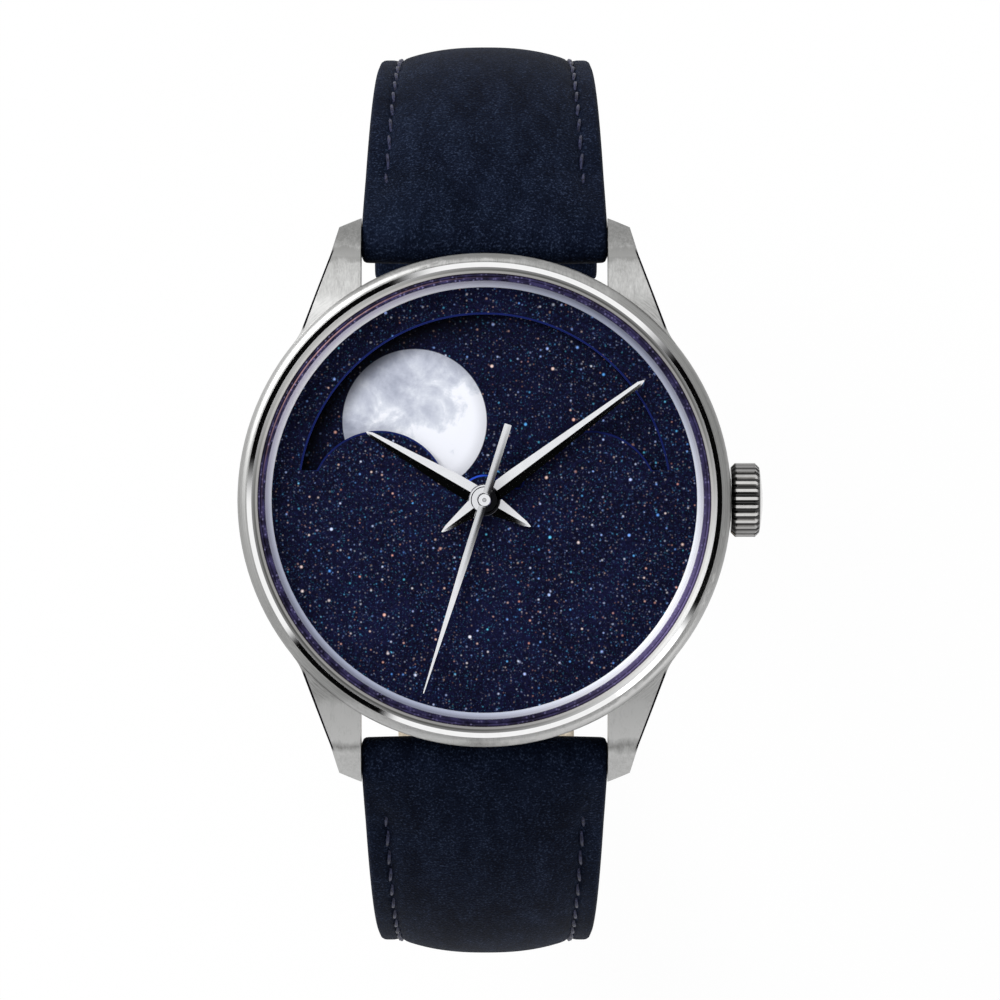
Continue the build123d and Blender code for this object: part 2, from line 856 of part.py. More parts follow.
# Bridge screws: four alike, with slotted heads sunk in the bridges
with BuildPart() as bridge_screws:
    with BuildSketch(level(bridge_z)):
        with Locations(*pillars, cock_foot):
            Circle(screw_head_radius)
    extrude(amount=screw_head_height)
    with BuildSketch(level(bridge_z + screw_head_height)):
        with Locations(*pillars, cock_foot):
            Circle(screw_radius)
    extrude(amount=screw_length - screw_head_height - slip)
    with BuildSketch(level(bridge_z)):
        with Locations(*pillars, cock_foot):
            Rectangle(2 * screw_head_radius, screw_slot_width)
    extrude(amount=screw_head_height / 2, mode=Mode.SUBTRACT)
save(bridge_screws.part, "bridge_screws")

# Going train
barrel_phase = 0.0
joined(
    "barrel",
    ring(barrel_z, barrel_z + barrel_height, barrel_arbor_radius + play, barrel_drum_radius, barrel_axis),
    wheel(
        barrel_teeth, barrel_module, barrel_phase, barrel_rim_z, wheel_thickness * 2,
        barrel_axis, barrel_arbor_radius + play,
    ),
)
joined("barrel_arbor", rod(bridge_z - ratchet_thickness, plate_z - slip, barrel_arbor_radius, barrel_axis))
save(
    gear(
        ratchet_teeth, ratchet_radius, ratchet_thickness, 0, bridge_z - ratchet_thickness - slip,
        bridge_z - slip, barrel_axis, barrel_arbor_radius,
    ),
    "ratchet_wheel",
)

centre_pinion_phase = mesh_phase(barrel_phase, barrel_teeth, barrel_bearing + 180, centre_pinion_teeth)
centre_pinion_z = barrel_rim_z - layer
tube_bore = seconds_arbor_radius + play
joined(
    "centre_wheel",
    wheel(
        centre_pinion_teeth, barrel_module, centre_pinion_phase, centre_pinion_z,
        centre_z - centre_pinion_z, centre, tube_bore,
    ),
    wheel(centre_teeth, centre_module, 0, centre_z, wheel_thickness, centre, tube_bore, wheel_windows),
    ring(centre_z, minute_hand_z, tube_bore, centre_tube_radius),
)
third_pinion_phase = mesh_phase(0, centre_teeth, third_bearing, third_pinion_teeth)
joined(
    "third_wheel",
    wheel(third_teeth, third_module, 0, third_z, wheel_thickness, third_axis, 0, wheel_windows),
    wheel(
        third_pinion_teeth, centre_module, third_pinion_phase, centre_z - layer / 2,
        wheel_thickness + layer, third_axis,
    ),
    rod(bridge_top + slip, plate_z - slip, arbor_radius, third_axis),
)
seconds_pinion_phase = mesh_phase(0, third_teeth, third_bearing + 180, seconds_pinion_teeth)
joined(
    "seconds_arbor",
    wheel(fourth_teeth, fourth_module, 0, fourth_z, wheel_thickness, centre, 0, wheel_windows),
    wheel(
        seconds_pinion_teeth, third_module, seconds_pinion_phase, fourth_z + wheel_thickness,
        wheel_thickness + 1.5 * layer, centre,
    ),
    rod(bridge_top + slip, seconds_hand_z + seconds_thickness, seconds_arbor_radius, centre),
)


def escape_points():
    """Outline of the escape wheel: hooked teeth that lean into the turn."""
    pitch = 360 / escape_teeth
    points = []
    for index in range(escape_teeth):
        start = index * pitch
        for radius_share, angle_share in escape_tooth_shares:
            points.append(polar(escape_radius * radius_share, start + pitch * angle_share))
    return points


with BuildPart() as escape_wheel:
    with BuildSketch(level(escape_z, escape_axis)):
        with BuildLine():
            Polyline(*escape_points(), close=True)
        make_face()
        with PolarLocations(0, wheel_windows):
            Polygon(
                *window_points(escape_radius * escape_window_share, wheel_windows),
                align=None,
                mode=Mode.SUBTRACT,
            )
    extrude(amount=wheel_thickness)
    escape_pinion_phase = mesh_phase(0, fourth_teeth, escape_bearing, escape_pinion_teeth)
    add(
        wheel(
            escape_pinion_teeth, fourth_module, escape_pinion_phase, fourth_z - layer / 2,
            wheel_thickness + layer, escape_axis,
        )
    )
    add(rod(bridge_top + slip, centre_z - layer, arbor_radius, escape_axis))
save(escape_wheel.part, "escape_wheel")

# Pallet fork: two arms that embrace the escape wheel and a lever that reaches the balance
escape_distance = math.hypot(pallet_axis[0] - escape_axis[0], pallet_axis[1] - escape_axis[1])
arm_x = escape_radius * math.sin(math.radians(pallet_half_angle))
arm_y = escape_distance - escape_radius * math.cos(math.radians(pallet_half_angle)) - pallet_clearance
lever_length = balance_distance - pallet_distance - roller_radius - pallet_clearance
inward = (escape_axis[0] - pallet_axis[0], escape_axis[1] - pallet_axis[1], 0)
fork_x = (inward[1], -inward[0], 0)
with BuildPart() as pallet_fork:
    with BuildSketch(Plane(origin=(*pallet_axis, escape_z), x_dir=fork_x, z_dir=(0, 0, 1))):
        Polygon(
            (-arm_x, arm_y),
            (-arm_x - lever_width, arm_y - lever_width),
            (-lever_width, -lever_width),
            (-lever_width / 2, -lever_length),
            (lever_width / 2, -lever_length),
            (lever_width, -lever_width),
            (arm_x + lever_width, arm_y - lever_width),
            (arm_x, arm_y),
            (0, lever_width),
            align=None,
        )
    extrude(amount=wheel_thickness)
    add(rod(balance_z + balance_thickness + layer, plate_z - slip, arbor_radius, pallet_axis))
save(pallet_fork.part, "pallet_fork")

# Balance: a rim on two arms, its staff, and the roller that the fork drives
with BuildPart() as balance_wheel:
    with BuildSketch(level(balance_z, balance_axis)):
        Circle(balance_radius)
        Circle(balance_radius - balance_rim, mode=Mode.SUBTRACT)
        Rectangle(2 * balance_radius - balance_rim, balance_rim)
    extrude(amount=balance_thickness)
    add(rod(bridge_z + cock_thickness + slip, plate_z - slip, arbor_radius, balance_axis))
    add(rod(escape_z, escape_z + wheel_thickness, roller_radius, balance_axis))
save(balance_wheel.part, "balance_wheel")


def spiral_side(radius_offset, turns, start, growth):
    """Half-turn arcs of a spiral, each ending a half turn's growth further out."""
    arcs = []
    for index in range(2 * turns):
        inner = start + index * growth / 2 + radius_offset
        outer = inner + growth / 2
        bearing = 180 * index
        arcs.append((polar(inner, bearing), polar((inner + outer) / 2, bearing + 90), polar(outer, bearing + 180)))
    return arcs


hairspring_start = arbor_radius
hairspring_growth = (hairspring_radius - hairspring_start) / hairspring_turns
with BuildPart() as hairspring:
    with BuildSketch(level(balance_z - layer - hairspring_height, balance_axis)):
        with BuildLine():
            inner_side = spiral_side(0, hairspring_turns, hairspring_start, hairspring_growth)
            outer_side = spiral_side(hairspring_width, hairspring_turns, hairspring_start, hairspring_growth)
            for side in (inner_side, outer_side):
                for arc in side:
                    ThreePointArc(*arc)
            Line(inner_side[0][0], outer_side[0][0])
            Line(inner_side[-1][2], outer_side[-1][2])
        make_face()
    extrude(amount=hairspring_height)
save(hairspring.part, "hairspring")

# Motion work, from the cannon pinion to the day wheel that steps the moon
cannon_bore = centre_tube_radius + slip
joined(
    "cannon_pinion",
    wheel(cannon_teeth, motion_module, 0, motion_z, pinion_height, centre, cannon_bore),
    ring(motion_z, minute_hand_z + hand_thickness, cannon_bore, cannon_radius),
)
minute_wheel_phase = mesh_phase(0, cannon_teeth, minute_wheel_bearing, minute_wheel_teeth)
post_bore = post_radius + play
joined(
    "minute_wheel",
    wheel(
        minute_wheel_teeth, motion_module, minute_wheel_phase, motion_z + layer / 2,
        wheel_thickness, minute_wheel_axis, post_bore, wheel_windows,
    ),
    wheel(
        minute_pinion_teeth, motion_module, 0, motion_z + layer / 2,
        hour_wheel_z + wheel_thickness - motion_z, minute_wheel_axis, post_bore,
    ),
)
hour_wheel_phase = mesh_phase(0, minute_pinion_teeth, minute_wheel_bearing + 180, hour_teeth)
pipe_bore = cannon_radius + play
joined(
    "hour_wheel",
    wheel(
        hour_teeth, motion_module, hour_wheel_phase, hour_wheel_z, wheel_thickness,
        centre, pipe_bore, wheel_windows,
    ),
    wheel(hour_pinion_teeth, day_module, 0, day_z - layer, wheel_thickness + layer, centre, pipe_bore),
    ring(hour_wheel_z, hour_hand_z + hand_thickness, pipe_bore, hour_pipe_radius),
)
day_phase = mesh_phase(0, hour_pinion_teeth, day_bearing, day_teeth)
finger_length = math.hypot(*day_axis) - star_radius
with BuildPart() as day_wheel:
    add(wheel(day_teeth, day_module, day_phase, day_z, wheel_thickness, day_axis, post_bore, wheel_windows))
    with BuildSketch(level(day_z + wheel_thickness, day_axis)):
        Circle(post_radius + finger_width)
        with Locations(polar(finger_length / 2, day_bearing)):
            Rectangle(finger_length, finger_width, rotation=day_bearing)
        Circle(post_bore, mode=Mode.SUBTRACT)
    extrude(amount=star_z + wheel_thickness - day_z - wheel_thickness)
save(day_wheel.part, "day_wheel")

# Moon jumper: a light spring whose nose rests at the star wheel
jumper_nose = star_radius + star_depth * tooth_tip_share + play
jumper_length = jumper_foot_distance - jumper_nose
with BuildPart() as moon_jumper:
    with BuildSketch(level(star_z)):
        with Locations(jumper_foot):
            Circle(post_radius + finger_width)
        with Locations(polar(jumper_nose + jumper_length / 2, jumper_bearing)):
            Rectangle(jumper_length, finger_width, rotation=jumper_bearing)
        with Locations(jumper_foot):
            Circle(post_radius + slip, mode=Mode.SUBTRACT)
    extrude(amount=wheel_thickness)
save(moon_jumper.part, "moon_jumper")

# Rotor: half a disc with a heavy rim, on a stud of the bridge under a screw
with BuildPart() as rotor:
    with BuildSketch(level(rotor_z)):
        Circle(rotor_radius)
        Circle(rotor_radius - rotor_rim, mode=Mode.SUBTRACT)
        with Locations((0, -rotor_radius / 2)):
            Rectangle(2 * rotor_radius, rotor_radius, mode=Mode.SUBTRACT)
    extrude(amount=rotor_rim_height)
    with BuildSketch(level(rotor_z)):
        Circle(rotor_radius - rotor_rim / 2)
        with Locations((0, -rotor_radius / 2)):
            Rectangle(2 * rotor_radius, rotor_radius, mode=Mode.SUBTRACT)
        with Locations(*[polar(rotor_window_place, bearing) for bearing in rotor_window_bearings]):
            Circle(rotor_window_radius, mode=Mode.SUBTRACT)
        Circle(rotor_bearing_radius)
        Circle(rotor_stud_radius + play, mode=Mode.SUBTRACT)
    extrude(amount=rotor_thickness)
save(rotor.part, "rotor")
joined(
    "rotor_bearing",
    rod(rotor_z, bridge_z, rotor_stud_radius, centre),
    ring(rotor_z + rotor_thickness + play, bridge_z, 0, rotor_bearing_radius),
)
with BuildPart() as rotor_screw:
    with BuildSketch(level(rotor_z - play - rotor_screw_height)):
        Circle(rotor_screw_radius)
    extrude(amount=rotor_screw_height + play - slip)
    with BuildSketch(level(rotor_z - play - rotor_screw_height)):
        Rectangle(2 * rotor_screw_radius, screw_slot_width)
    extrude(amount=rotor_screw_height / 2, mode=Mode.SUBTRACT)
save(rotor_screw.part, "rotor_screw")

# Click: keeps the ratchet wheel from turning back
click_axis = (
    barrel_axis[0] + (ratchet_radius + click_radius + ratchet_thickness) * math.cos(math.radians(click_bearing)),
    barrel_axis[1] + (ratchet_radius + click_radius + ratchet_thickness) * math.sin(math.radians(click_bearing)),
)
with BuildPart() as click:
    with BuildSketch(level(bridge_z - ratchet_thickness, click_axis)):
        Circle(click_radius)
        with Locations(polar(click_radius, click_bearing + click_lean)):
            Rectangle(2 * click_radius, click_radius, rotation=click_bearing + click_lean)
    extrude(amount=ratchet_thickness)
save(click.part, "click")


def across_x(x):
    """The plane square to the crown's axis at a distance along it."""
    return Plane(origin=(x, 0, crown_z), x_dir=(0, 1, 0), z_dir=(1, 0, 0))


# Crown: fluted, chamfered at both ends, hollow over the tube that guides its stem
crown_end_x = crown_start_x + crown_length
crown_axis = Axis((0, 0, crown_z), (1, 0, 0))
with BuildPart() as crown:
    with BuildSketch(across_x(crown_start_x)):
        flute_pitch_radius = crown_radius - flute_depth * tooth_tip_share
        with BuildLine():
            Polyline(
                *tooth_points(crown_flutes, flute_pitch_radius, flute_depth, 0, flute_land_share),
                close=True,
            )
        make_face()
    extrude(amount=crown_length)
    with BuildSketch(Plane(origin=(0, 0, crown_z), x_dir=(1, 0, 0), z_dir=(0, -1, 0))):
        Polygon(
            (crown_start_x, 0),
            (crown_start_x, crown_radius - crown_chamfer),
            (crown_start_x + crown_chamfer, crown_radius + slip),
            (crown_end_x - crown_chamfer, crown_radius + slip),
            (crown_end_x, crown_radius - 2 * crown_chamfer),
            (crown_end_x, 0),
            align=None,
        )
    revolve(axis=crown_axis, mode=Mode.INTERSECT)
    with BuildSketch(across_x(crown_start_x)):
        Circle(crown_cup_radius)
    extrude(amount=crown_cup_depth, mode=Mode.SUBTRACT)
save(crown.part, "crown")


def sleeve(name, start, length, inner, outer):
    """A round piece on the crown's axis, hollow where its inner radius isn't zero."""
    with BuildPart() as piece:
        with BuildSketch(across_x(start)):
            Circle(outer)
            if inner > 0:
                Circle(inner, mode=Mode.SUBTRACT)
        extrude(amount=length)
    save(piece.part, name)


sleeve(
    "crown_tube", bore_radius + ring_gap, crown_start_x + crown_tube_reach - bore_radius - ring_gap,
    stem_radius + play, crown_tube_radius - slip,
)
sleeve(
    "crown_gasket", crown_start_x + crown_seal_length, crown_seal_length,
    crown_tube_radius + slip, crown_cup_radius - slip,
)
sleeve("stem", stem_end_x, crown_start_x + crown_cup_depth - stem_end_x, 0, stem_radius)
with BuildPart() as winding_pinion:
    with BuildSketch(across_x(stem_end_x + winding_pinion_gap)):
        with BuildLine():
            Polyline(
                *tooth_points(winding_pinion_teeth, winding_pinion_radius - lever_prong / 2, lever_prong, 0),
                close=True,
            )
        make_face()
        Circle(stem_radius, mode=Mode.SUBTRACT)
    extrude(amount=winding_pinion_length)
save(winding_pinion.part, "winding_pinion")

# Setting lever: a plate over the stem with two prongs beside it
lever_z = crown_z + stem_radius + play
with BuildPart() as setting_lever:
    lever_middle = lever_x + lever_plate_width / 2
    with BuildSketch(level(lever_z, (lever_middle, 0))):
        Rectangle(lever_plate_width, lever_plate_length)
    extrude(amount=lever_plate_thickness)
    with BuildSketch(level(lever_z, (lever_middle, 0))):
        with Locations((0, stem_radius + play + lever_prong / 2), (0, -stem_radius - play - lever_prong / 2)):
            Rectangle(lever_plate_width, lever_prong)
    extrude(amount=-stem_radius)
save(setting_lever.part, "setting_lever")

# Spring bars: a barrel between the lugs with a thin tip in each of them
for side, name in ((1, "spring_bar_12"), (-1, "spring_bar_6")):
    bar_plane = Plane(origin=(0, side * bar_y, bar_z), x_dir=(0, 1, 0), z_dir=(1, 0, 0))
    with BuildPart() as spring_bar:
        with BuildSketch(bar_plane):
            Circle(spring_bar_radius)
        extrude(amount=lug_gap / 2 - spring_bar_shoulder, both=True)
        with BuildSketch(bar_plane):
            Circle(spring_bar_tip_radius)
        extrude(amount=lug_gap / 2 + spring_bar_tip_length - slip, both=True)
    save(spring_bar.part, name)

# Strap: both halves follow an arc down the wrist's side and a second one under it


class StrapHalf:
    """The run of one strap half: its side of the case, its length and the bend of its far end."""

    def __init__(self, side, length, far_bend):
        self.side = side
        self.length = length
        self.far_bend = far_bend
        self.side_run = math.radians(90 - strap_heading) * strap_side_bend
        self.side_centre = (
            bar_y - strap_side_bend * math.sin(math.radians(strap_heading)),
            bar_z - strap_side_bend * math.cos(math.radians(strap_heading)),
        )
        self.far_centre = (self.side_centre[0] + strap_side_bend - far_bend, self.side_centre[1])

    def place(self, run):
        """The point on the centre line and the heading in degrees, after a run from the bar."""
        if run <= self.side_run:
            heading = strap_heading + math.degrees(run / strap_side_bend)
            centre, bend = self.side_centre, strap_side_bend
        else:
            heading = 90 + math.degrees((run - self.side_run) / self.far_bend)
            centre, bend = self.far_centre, self.far_bend
        angle = math.radians(heading)
        return (
            self.side * (centre[0] + bend * math.sin(angle)),
            centre[1] + bend * math.cos(angle),
            angle,
        )

    def section(self, run):
        """The plane across the strap, with its second axis pointing away from the wrist."""
        y, z, angle = self.place(run)
        return Plane(
            origin=(0, y, z), x_dir=(1, 0, 0), z_dir=(0, -math.cos(angle), self.side * math.sin(angle))
        )

    def face(self, run, height=0.0):
        """The plane that lies on the strap, with its normal pointing away from the wrist."""
        y, z, angle = self.place(run)
        normal = (0, self.side * math.sin(angle), math.cos(angle))
        return Plane(origin=(0, y + normal[1] * height, z + normal[2] * height), x_dir=(1, 0, 0), z_dir=normal)

    def width(self, run):
        """The strap's width, which narrows as far as the taper goes."""
        share = min(run / strap_taper_length, 1)
        return strap_width + (strap_end_width - strap_width) * share

    def thickness(self, run):
        """The strap's thickness, which falls as the width does."""
        share = min(run / strap_taper_length, 1)
        return strap_thickness + (strap_end_thickness - strap_thickness) * share

    def stations(self, start, end):
        """Evenly spaced runs from a start to an end, with one at the change of bend."""
        first = [start + (self.side_run - start) * index / side_stations for index in range(side_stations)]
        far = end - self.side_run
        return first + [self.side_run + far * index / far_stations for index in range(far_stations + 1)]

    def layer(self, start, end, lining):
        """One leather layer between two runs: the flat lining or the crowned upper."""
        with BuildPart() as leather:
            for run in self.stations(start, end):
                half = self.width(run) / 2
                thickness = self.thickness(run)
                seam = thickness * (lining_share - 0.5)
                with BuildSketch(self.section(run)):
                    if lining:
                        Polygon(
                            (-half, -thickness / 2), (half, -thickness / 2), (half, seam), (-half, seam),
                            align=None,
                        )
                    else:
                        edge = thickness * (side_wall_share - 0.5)
                        with BuildLine():
                            Polyline((-half, edge), (-half, seam), (half, seam), (half, edge))
                            ThreePointArc((half, edge), (0, thickness / 2), (-half, edge))
                        make_face()
            loft()
        return leather.part

    def loop(self, run, radius, width):
        """The round end where the leather turns about a bar."""
        y, z, _ = self.place(run)
        with BuildPart() as end:
            with BuildSketch(Plane(origin=(0, y, z), x_dir=(0, 1, 0), z_dir=(1, 0, 0))):
                Circle(radius)
            extrude(amount=width / 2, both=True)
        return end.part


buckle_half = StrapHalf(1, strap_taper_length, buckle_bend)
tail_half = StrapHalf(-1, strap_tail_length, tail_bend)
bar_bore = spring_bar_radius + strap_bore_play
buckle_bore = buckle_bar_radius + strap_bore_play
slot_end = strap_taper_length + buckle_loop_radius + overrun
slot_middle = slot_end - (slot_length + buckle_loop_radius + overrun) / 2

with BuildPart() as strap_12_upper:
    add(buckle_half.layer(0, buckle_half.length, lining=False))
    add(buckle_half.loop(0, strap_loop_radius, strap_width))
    add(buckle_half.loop(buckle_half.length, buckle_loop_radius, strap_end_width))
    add(buckle_half.loop(0, bar_bore, strap_width + overrun), mode=Mode.SUBTRACT)
    add(buckle_half.loop(buckle_half.length, buckle_bore, strap_end_width + overrun), mode=Mode.SUBTRACT)
    with BuildSketch(buckle_half.face(slot_middle)):
        Rectangle(slot_width, slot_length + buckle_loop_radius + overrun)
    extrude(amount=strap_thickness, both=True, mode=Mode.SUBTRACT)
save(strap_12_upper.part, "strap_12_upper")

with BuildPart() as strap_12_lining:
    add(buckle_half.layer(0, buckle_half.length, lining=True))
    add(buckle_half.loop(0, lining_start, lug_gap), mode=Mode.SUBTRACT)
    add(buckle_half.loop(buckle_half.length, buckle_loop_radius + keeper_gap, lug_gap), mode=Mode.SUBTRACT)
    with BuildSketch(buckle_half.face(slot_middle)):
        Rectangle(slot_width, slot_length + buckle_loop_radius + overrun)
    extrude(amount=strap_thickness, both=True, mode=Mode.SUBTRACT)
save(strap_12_lining.part, "strap_12_lining")


def tail_cuts():
    """The row of holes and the rounded point that both layers of the tail share."""
    with BuildPart() as cuts:
        for index in range(hole_count):
            run = tail_half.length - first_hole_from_tip - index * hole_pitch
            with BuildSketch(tail_half.face(run)):
                Circle(hole_radius)
            extrude(amount=strap_thickness, both=True)
        with BuildSketch(tail_half.face(tail_half.length - tail_round)):
            with Locations((0, -tail_round / 2 - overrun)):
                Rectangle(strap_end_width + 2 * overrun, tail_round + 2 * overrun)
            Circle(tail_round, mode=Mode.SUBTRACT)
        extrude(amount=strap_thickness, both=True)
    return cuts.part


for lining, name in ((False, "strap_6_upper"), (True, "strap_6_lining")):
    with BuildPart() as tail:
        add(tail_half.layer(0, tail_half.length, lining))
        if lining:
            add(tail_half.loop(0, lining_start, lug_gap), mode=Mode.SUBTRACT)
        else:
            add(tail_half.loop(0, strap_loop_radius, strap_width))
            add(tail_half.loop(0, bar_bore, strap_width + overrun), mode=Mode.SUBTRACT)
        add(tail_cuts(), mode=Mode.SUBTRACT)
    save(tail.part, name)

# Keepers: leather bands that follow the bend under the wrist, one sewn on and one that slides
keeper_axis = Axis((0, *buckle_half.far_centre), (1, 0, 0))
for name, from_bar in (("fixed_keeper", fixed_keeper_from_bar), ("loose_keeper", loose_keeper_from_bar)):
    run = buckle_half.length - from_bar - keeper_width / 2
    floor_height = -buckle_half.thickness(run) / 2 - keeper_gap
    middle_height = floor_height + keeper_inner_height / 2
    with BuildPart() as keeper:
        with BuildSketch(buckle_half.section(run)):
            with Locations((0, middle_height)):
                RectangleRounded(
                    keeper_inner_width + 2 * keeper_thickness,
                    keeper_inner_height + 2 * keeper_thickness,
                    keeper_round + keeper_thickness,
                )
                RectangleRounded(keeper_inner_width, keeper_inner_height, keeper_round, mode=Mode.SUBTRACT)
        revolve(axis=keeper_axis, revolution_arc=-math.degrees(keeper_width / buckle_bend))
    save(keeper.part, name)

# Buckle: a frame on a bar through the strap's end loop, with a tongue that turns on the same bar
buckle_y, buckle_z, _ = buckle_half.place(buckle_half.length)
buckle_plane = Plane(origin=(0, buckle_y, buckle_z), x_dir=(1, 0, 0), z_dir=(0, 0, -1))
buckle_outer = buckle_inner_width + 2 * buckle_arm_width
with BuildPart() as buckle_frame:
    with BuildSketch(buckle_plane):
        with Locations((0, (buckle_length - buckle_heel) / 2)):
            RectangleRounded(buckle_outer, buckle_length + buckle_heel, buckle_round)
        with Locations((0, (buckle_length - buckle_front_width - buckle_heel) / 2 - overrun)):
            Rectangle(
                buckle_inner_width,
                buckle_length - buckle_front_width + buckle_heel + 2 * overrun,
                mode=Mode.SUBTRACT,
            )
    extrude(amount=buckle_thickness / 2, both=True)
    with BuildSketch(Plane(origin=(0, buckle_y, buckle_z), x_dir=(0, 1, 0), z_dir=(1, 0, 0))):
        Circle(buckle_bar_radius / 2 + slip)
    extrude(amount=buckle_outer / 2 - buckle_arm_width / 2, both=True, mode=Mode.SUBTRACT)
save(buckle_frame.part, "buckle_frame")

bar_cross = Plane(origin=(0, buckle_y, buckle_z), x_dir=(0, 1, 0), z_dir=(1, 0, 0))
with BuildPart() as buckle_bar:
    with BuildSketch(bar_cross):
        Circle(buckle_bar_radius)
    extrude(amount=buckle_inner_width / 2 - slip, both=True)
    with BuildSketch(bar_cross):
        Circle(buckle_bar_radius / 2)
    extrude(amount=buckle_outer / 2 - buckle_arm_width / 2 - slip, both=True)
save(buckle_bar.part, "buckle_bar")

with BuildPart() as buckle_tongue:
    tongue_seat = buckle_thickness / 2 + slip
    front_start = buckle_length - buckle_front_width - tongue_overhang
    tongue_tip = buckle_length + tongue_overhang
    with BuildSketch(Plane(origin=(0, buckle_y, buckle_z), x_dir=(0, -1, 0), z_dir=(-1, 0, 0))):
        Polygon(
            (0, -tongue_loop_radius),
            (0, tongue_thickness - tongue_loop_radius),
            (front_start, -tongue_seat),
            (tongue_tip, -tongue_seat),
            (tongue_tip, -tongue_seat - tongue_thickness),
            align=None,
        )
        Circle(tongue_loop_radius)
        Circle(buckle_bar_radius + play, mode=Mode.SUBTRACT)
    extrude(amount=tongue_width / 2, both=True)
save(buckle_tongue.part, "buckle_tongue")
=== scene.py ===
"""Moon phase watch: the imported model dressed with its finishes, its leather and its printed dial."""

import math

import bpy
import numpy as np
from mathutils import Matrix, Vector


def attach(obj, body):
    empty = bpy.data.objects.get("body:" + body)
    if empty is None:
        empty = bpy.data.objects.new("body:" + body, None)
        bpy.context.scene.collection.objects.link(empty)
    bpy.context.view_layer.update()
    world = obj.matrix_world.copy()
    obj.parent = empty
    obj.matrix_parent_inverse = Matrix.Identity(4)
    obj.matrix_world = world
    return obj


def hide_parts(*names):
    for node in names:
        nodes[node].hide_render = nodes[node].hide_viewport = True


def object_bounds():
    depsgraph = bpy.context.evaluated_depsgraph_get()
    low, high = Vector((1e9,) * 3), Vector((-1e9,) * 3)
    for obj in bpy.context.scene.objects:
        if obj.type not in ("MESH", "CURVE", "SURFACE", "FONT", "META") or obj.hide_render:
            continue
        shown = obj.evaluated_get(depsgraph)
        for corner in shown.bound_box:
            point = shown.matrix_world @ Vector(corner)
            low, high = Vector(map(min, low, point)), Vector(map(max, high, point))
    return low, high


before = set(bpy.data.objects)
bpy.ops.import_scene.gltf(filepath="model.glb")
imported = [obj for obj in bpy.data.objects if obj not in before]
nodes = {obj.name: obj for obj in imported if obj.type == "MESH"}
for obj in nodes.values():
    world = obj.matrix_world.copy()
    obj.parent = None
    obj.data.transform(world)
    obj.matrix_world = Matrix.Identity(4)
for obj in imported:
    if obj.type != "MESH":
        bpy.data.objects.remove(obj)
cad_box = [list(map(float, corner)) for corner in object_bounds()]
MM = 0.001
weld_distance = 0.000002

# The studio: a white paper floor a little below the hanging strap, one large soft light at the
# upper left, a weak one opposite, and a camera that looks straight down on the dial.
floor_clearance = 1.0 * MM
floor_half = 1.6
camera_height = 610 * MM
camera_x, camera_y = 1.26 * MM, 0.0
camera_lens, camera_sensor = 267.9, 36.0
key_place, key_size, key_power = (-0.55, 0.55, 0.75), 0.55, 9.0
fill_place, fill_size, fill_power = (0.8, -0.6, 0.6), 0.8, 2.0

camera_data = bpy.data.cameras.new("camera")
camera_data.lens = camera_lens
camera_data.sensor_width = camera_sensor
camera_data.clip_start = 0.01
camera_data.clip_end = 20.0
camera = bpy.data.objects.new("camera", camera_data)
camera.location = (camera_x, camera_y, camera_height)
bpy.context.scene.collection.objects.link(camera)
bpy.context.scene.camera = camera
bpy.context.scene.view_settings.view_transform = "Standard"


class Shade:
    """A socket in a material. Arithmetic on it adds the Math nodes that work the expression out."""

    def __init__(self, tree, socket):
        self.tree = tree
        self.socket = socket

    def math(self, operation, *values):
        return add_node(self.tree, "ShaderNodeMath", {"operation": operation}, dict(enumerate(values)))

    def __add__(self, other):
        return self.math("ADD", self, other)

    def __radd__(self, other):
        return self.math("ADD", other, self)

    def __sub__(self, other):
        return self.math("SUBTRACT", self, other)

    def __rsub__(self, other):
        return self.math("SUBTRACT", other, self)

    def __mul__(self, other):
        return self.math("MULTIPLY", self, other)

    def __rmul__(self, other):
        return self.math("MULTIPLY", other, self)

    def __truediv__(self, other):
        return self.math("DIVIDE", self, other)

    def __pow__(self, other):
        return self.math("POWER", self, other)

    def __lt__(self, other):
        return self.math("LESS_THAN", self, other)

    def abs(self):
        return self.math("ABSOLUTE", self)

    def sine(self):
        return self.math("SINE", self)

    def at_most(self, other):
        return self.math("MINIMUM", self, other)

    def at_least(self, other):
        return self.math("MAXIMUM", self, other)

    def rise(self, start, end):
        """0 below start, 1 above end and smooth between them; falls where end is below start."""
        ends = {"Value": self, "From Min": start, "From Max": end}
        return add_node(self.tree, "ShaderNodeMapRange", {"interpolation_type": "SMOOTHSTEP"}, ends)


def add_node(tree, kind, settings=(), inputs=(), output=0):
    """One node: its type, its settings, then the values or links of its sockets."""
    node = tree.nodes.new(kind)
    for name, value in dict(settings).items():
        if name == "stops":
            ramp = node.color_ramp
            while len(ramp.elements) < len(value):
                ramp.elements.new(0.5)
            for element, (place, colour) in zip(ramp.elements, value):
                element.position = place
                element.color = (*colour, 1.0)
        else:
            setattr(node, name, value)
    for name, value in dict(inputs).items():
        if isinstance(name, int):
            socket = node.inputs[name]
        else:
            named = [s for s in node.inputs if s.identifier == name or (s.name == name and s.enabled)]
            socket = named[0]
        if isinstance(value, Shade):
            tree.links.new(value.socket, socket)
        elif isinstance(value, tuple) and socket.type == "RGBA":
            socket.default_value = (*value, 1.0)
        else:
            socket.default_value = value
    outputs = [s for s in node.outputs if s.enabled]
    if isinstance(output, str):
        return Shade(tree, [s for s in outputs if s.name == output][0])
    return Shade(tree, outputs[output])


def radius_of(x, y):
    """The distance from the Z axis, as the length of (x, y)."""
    return (x * x + y * y) ** 0.5


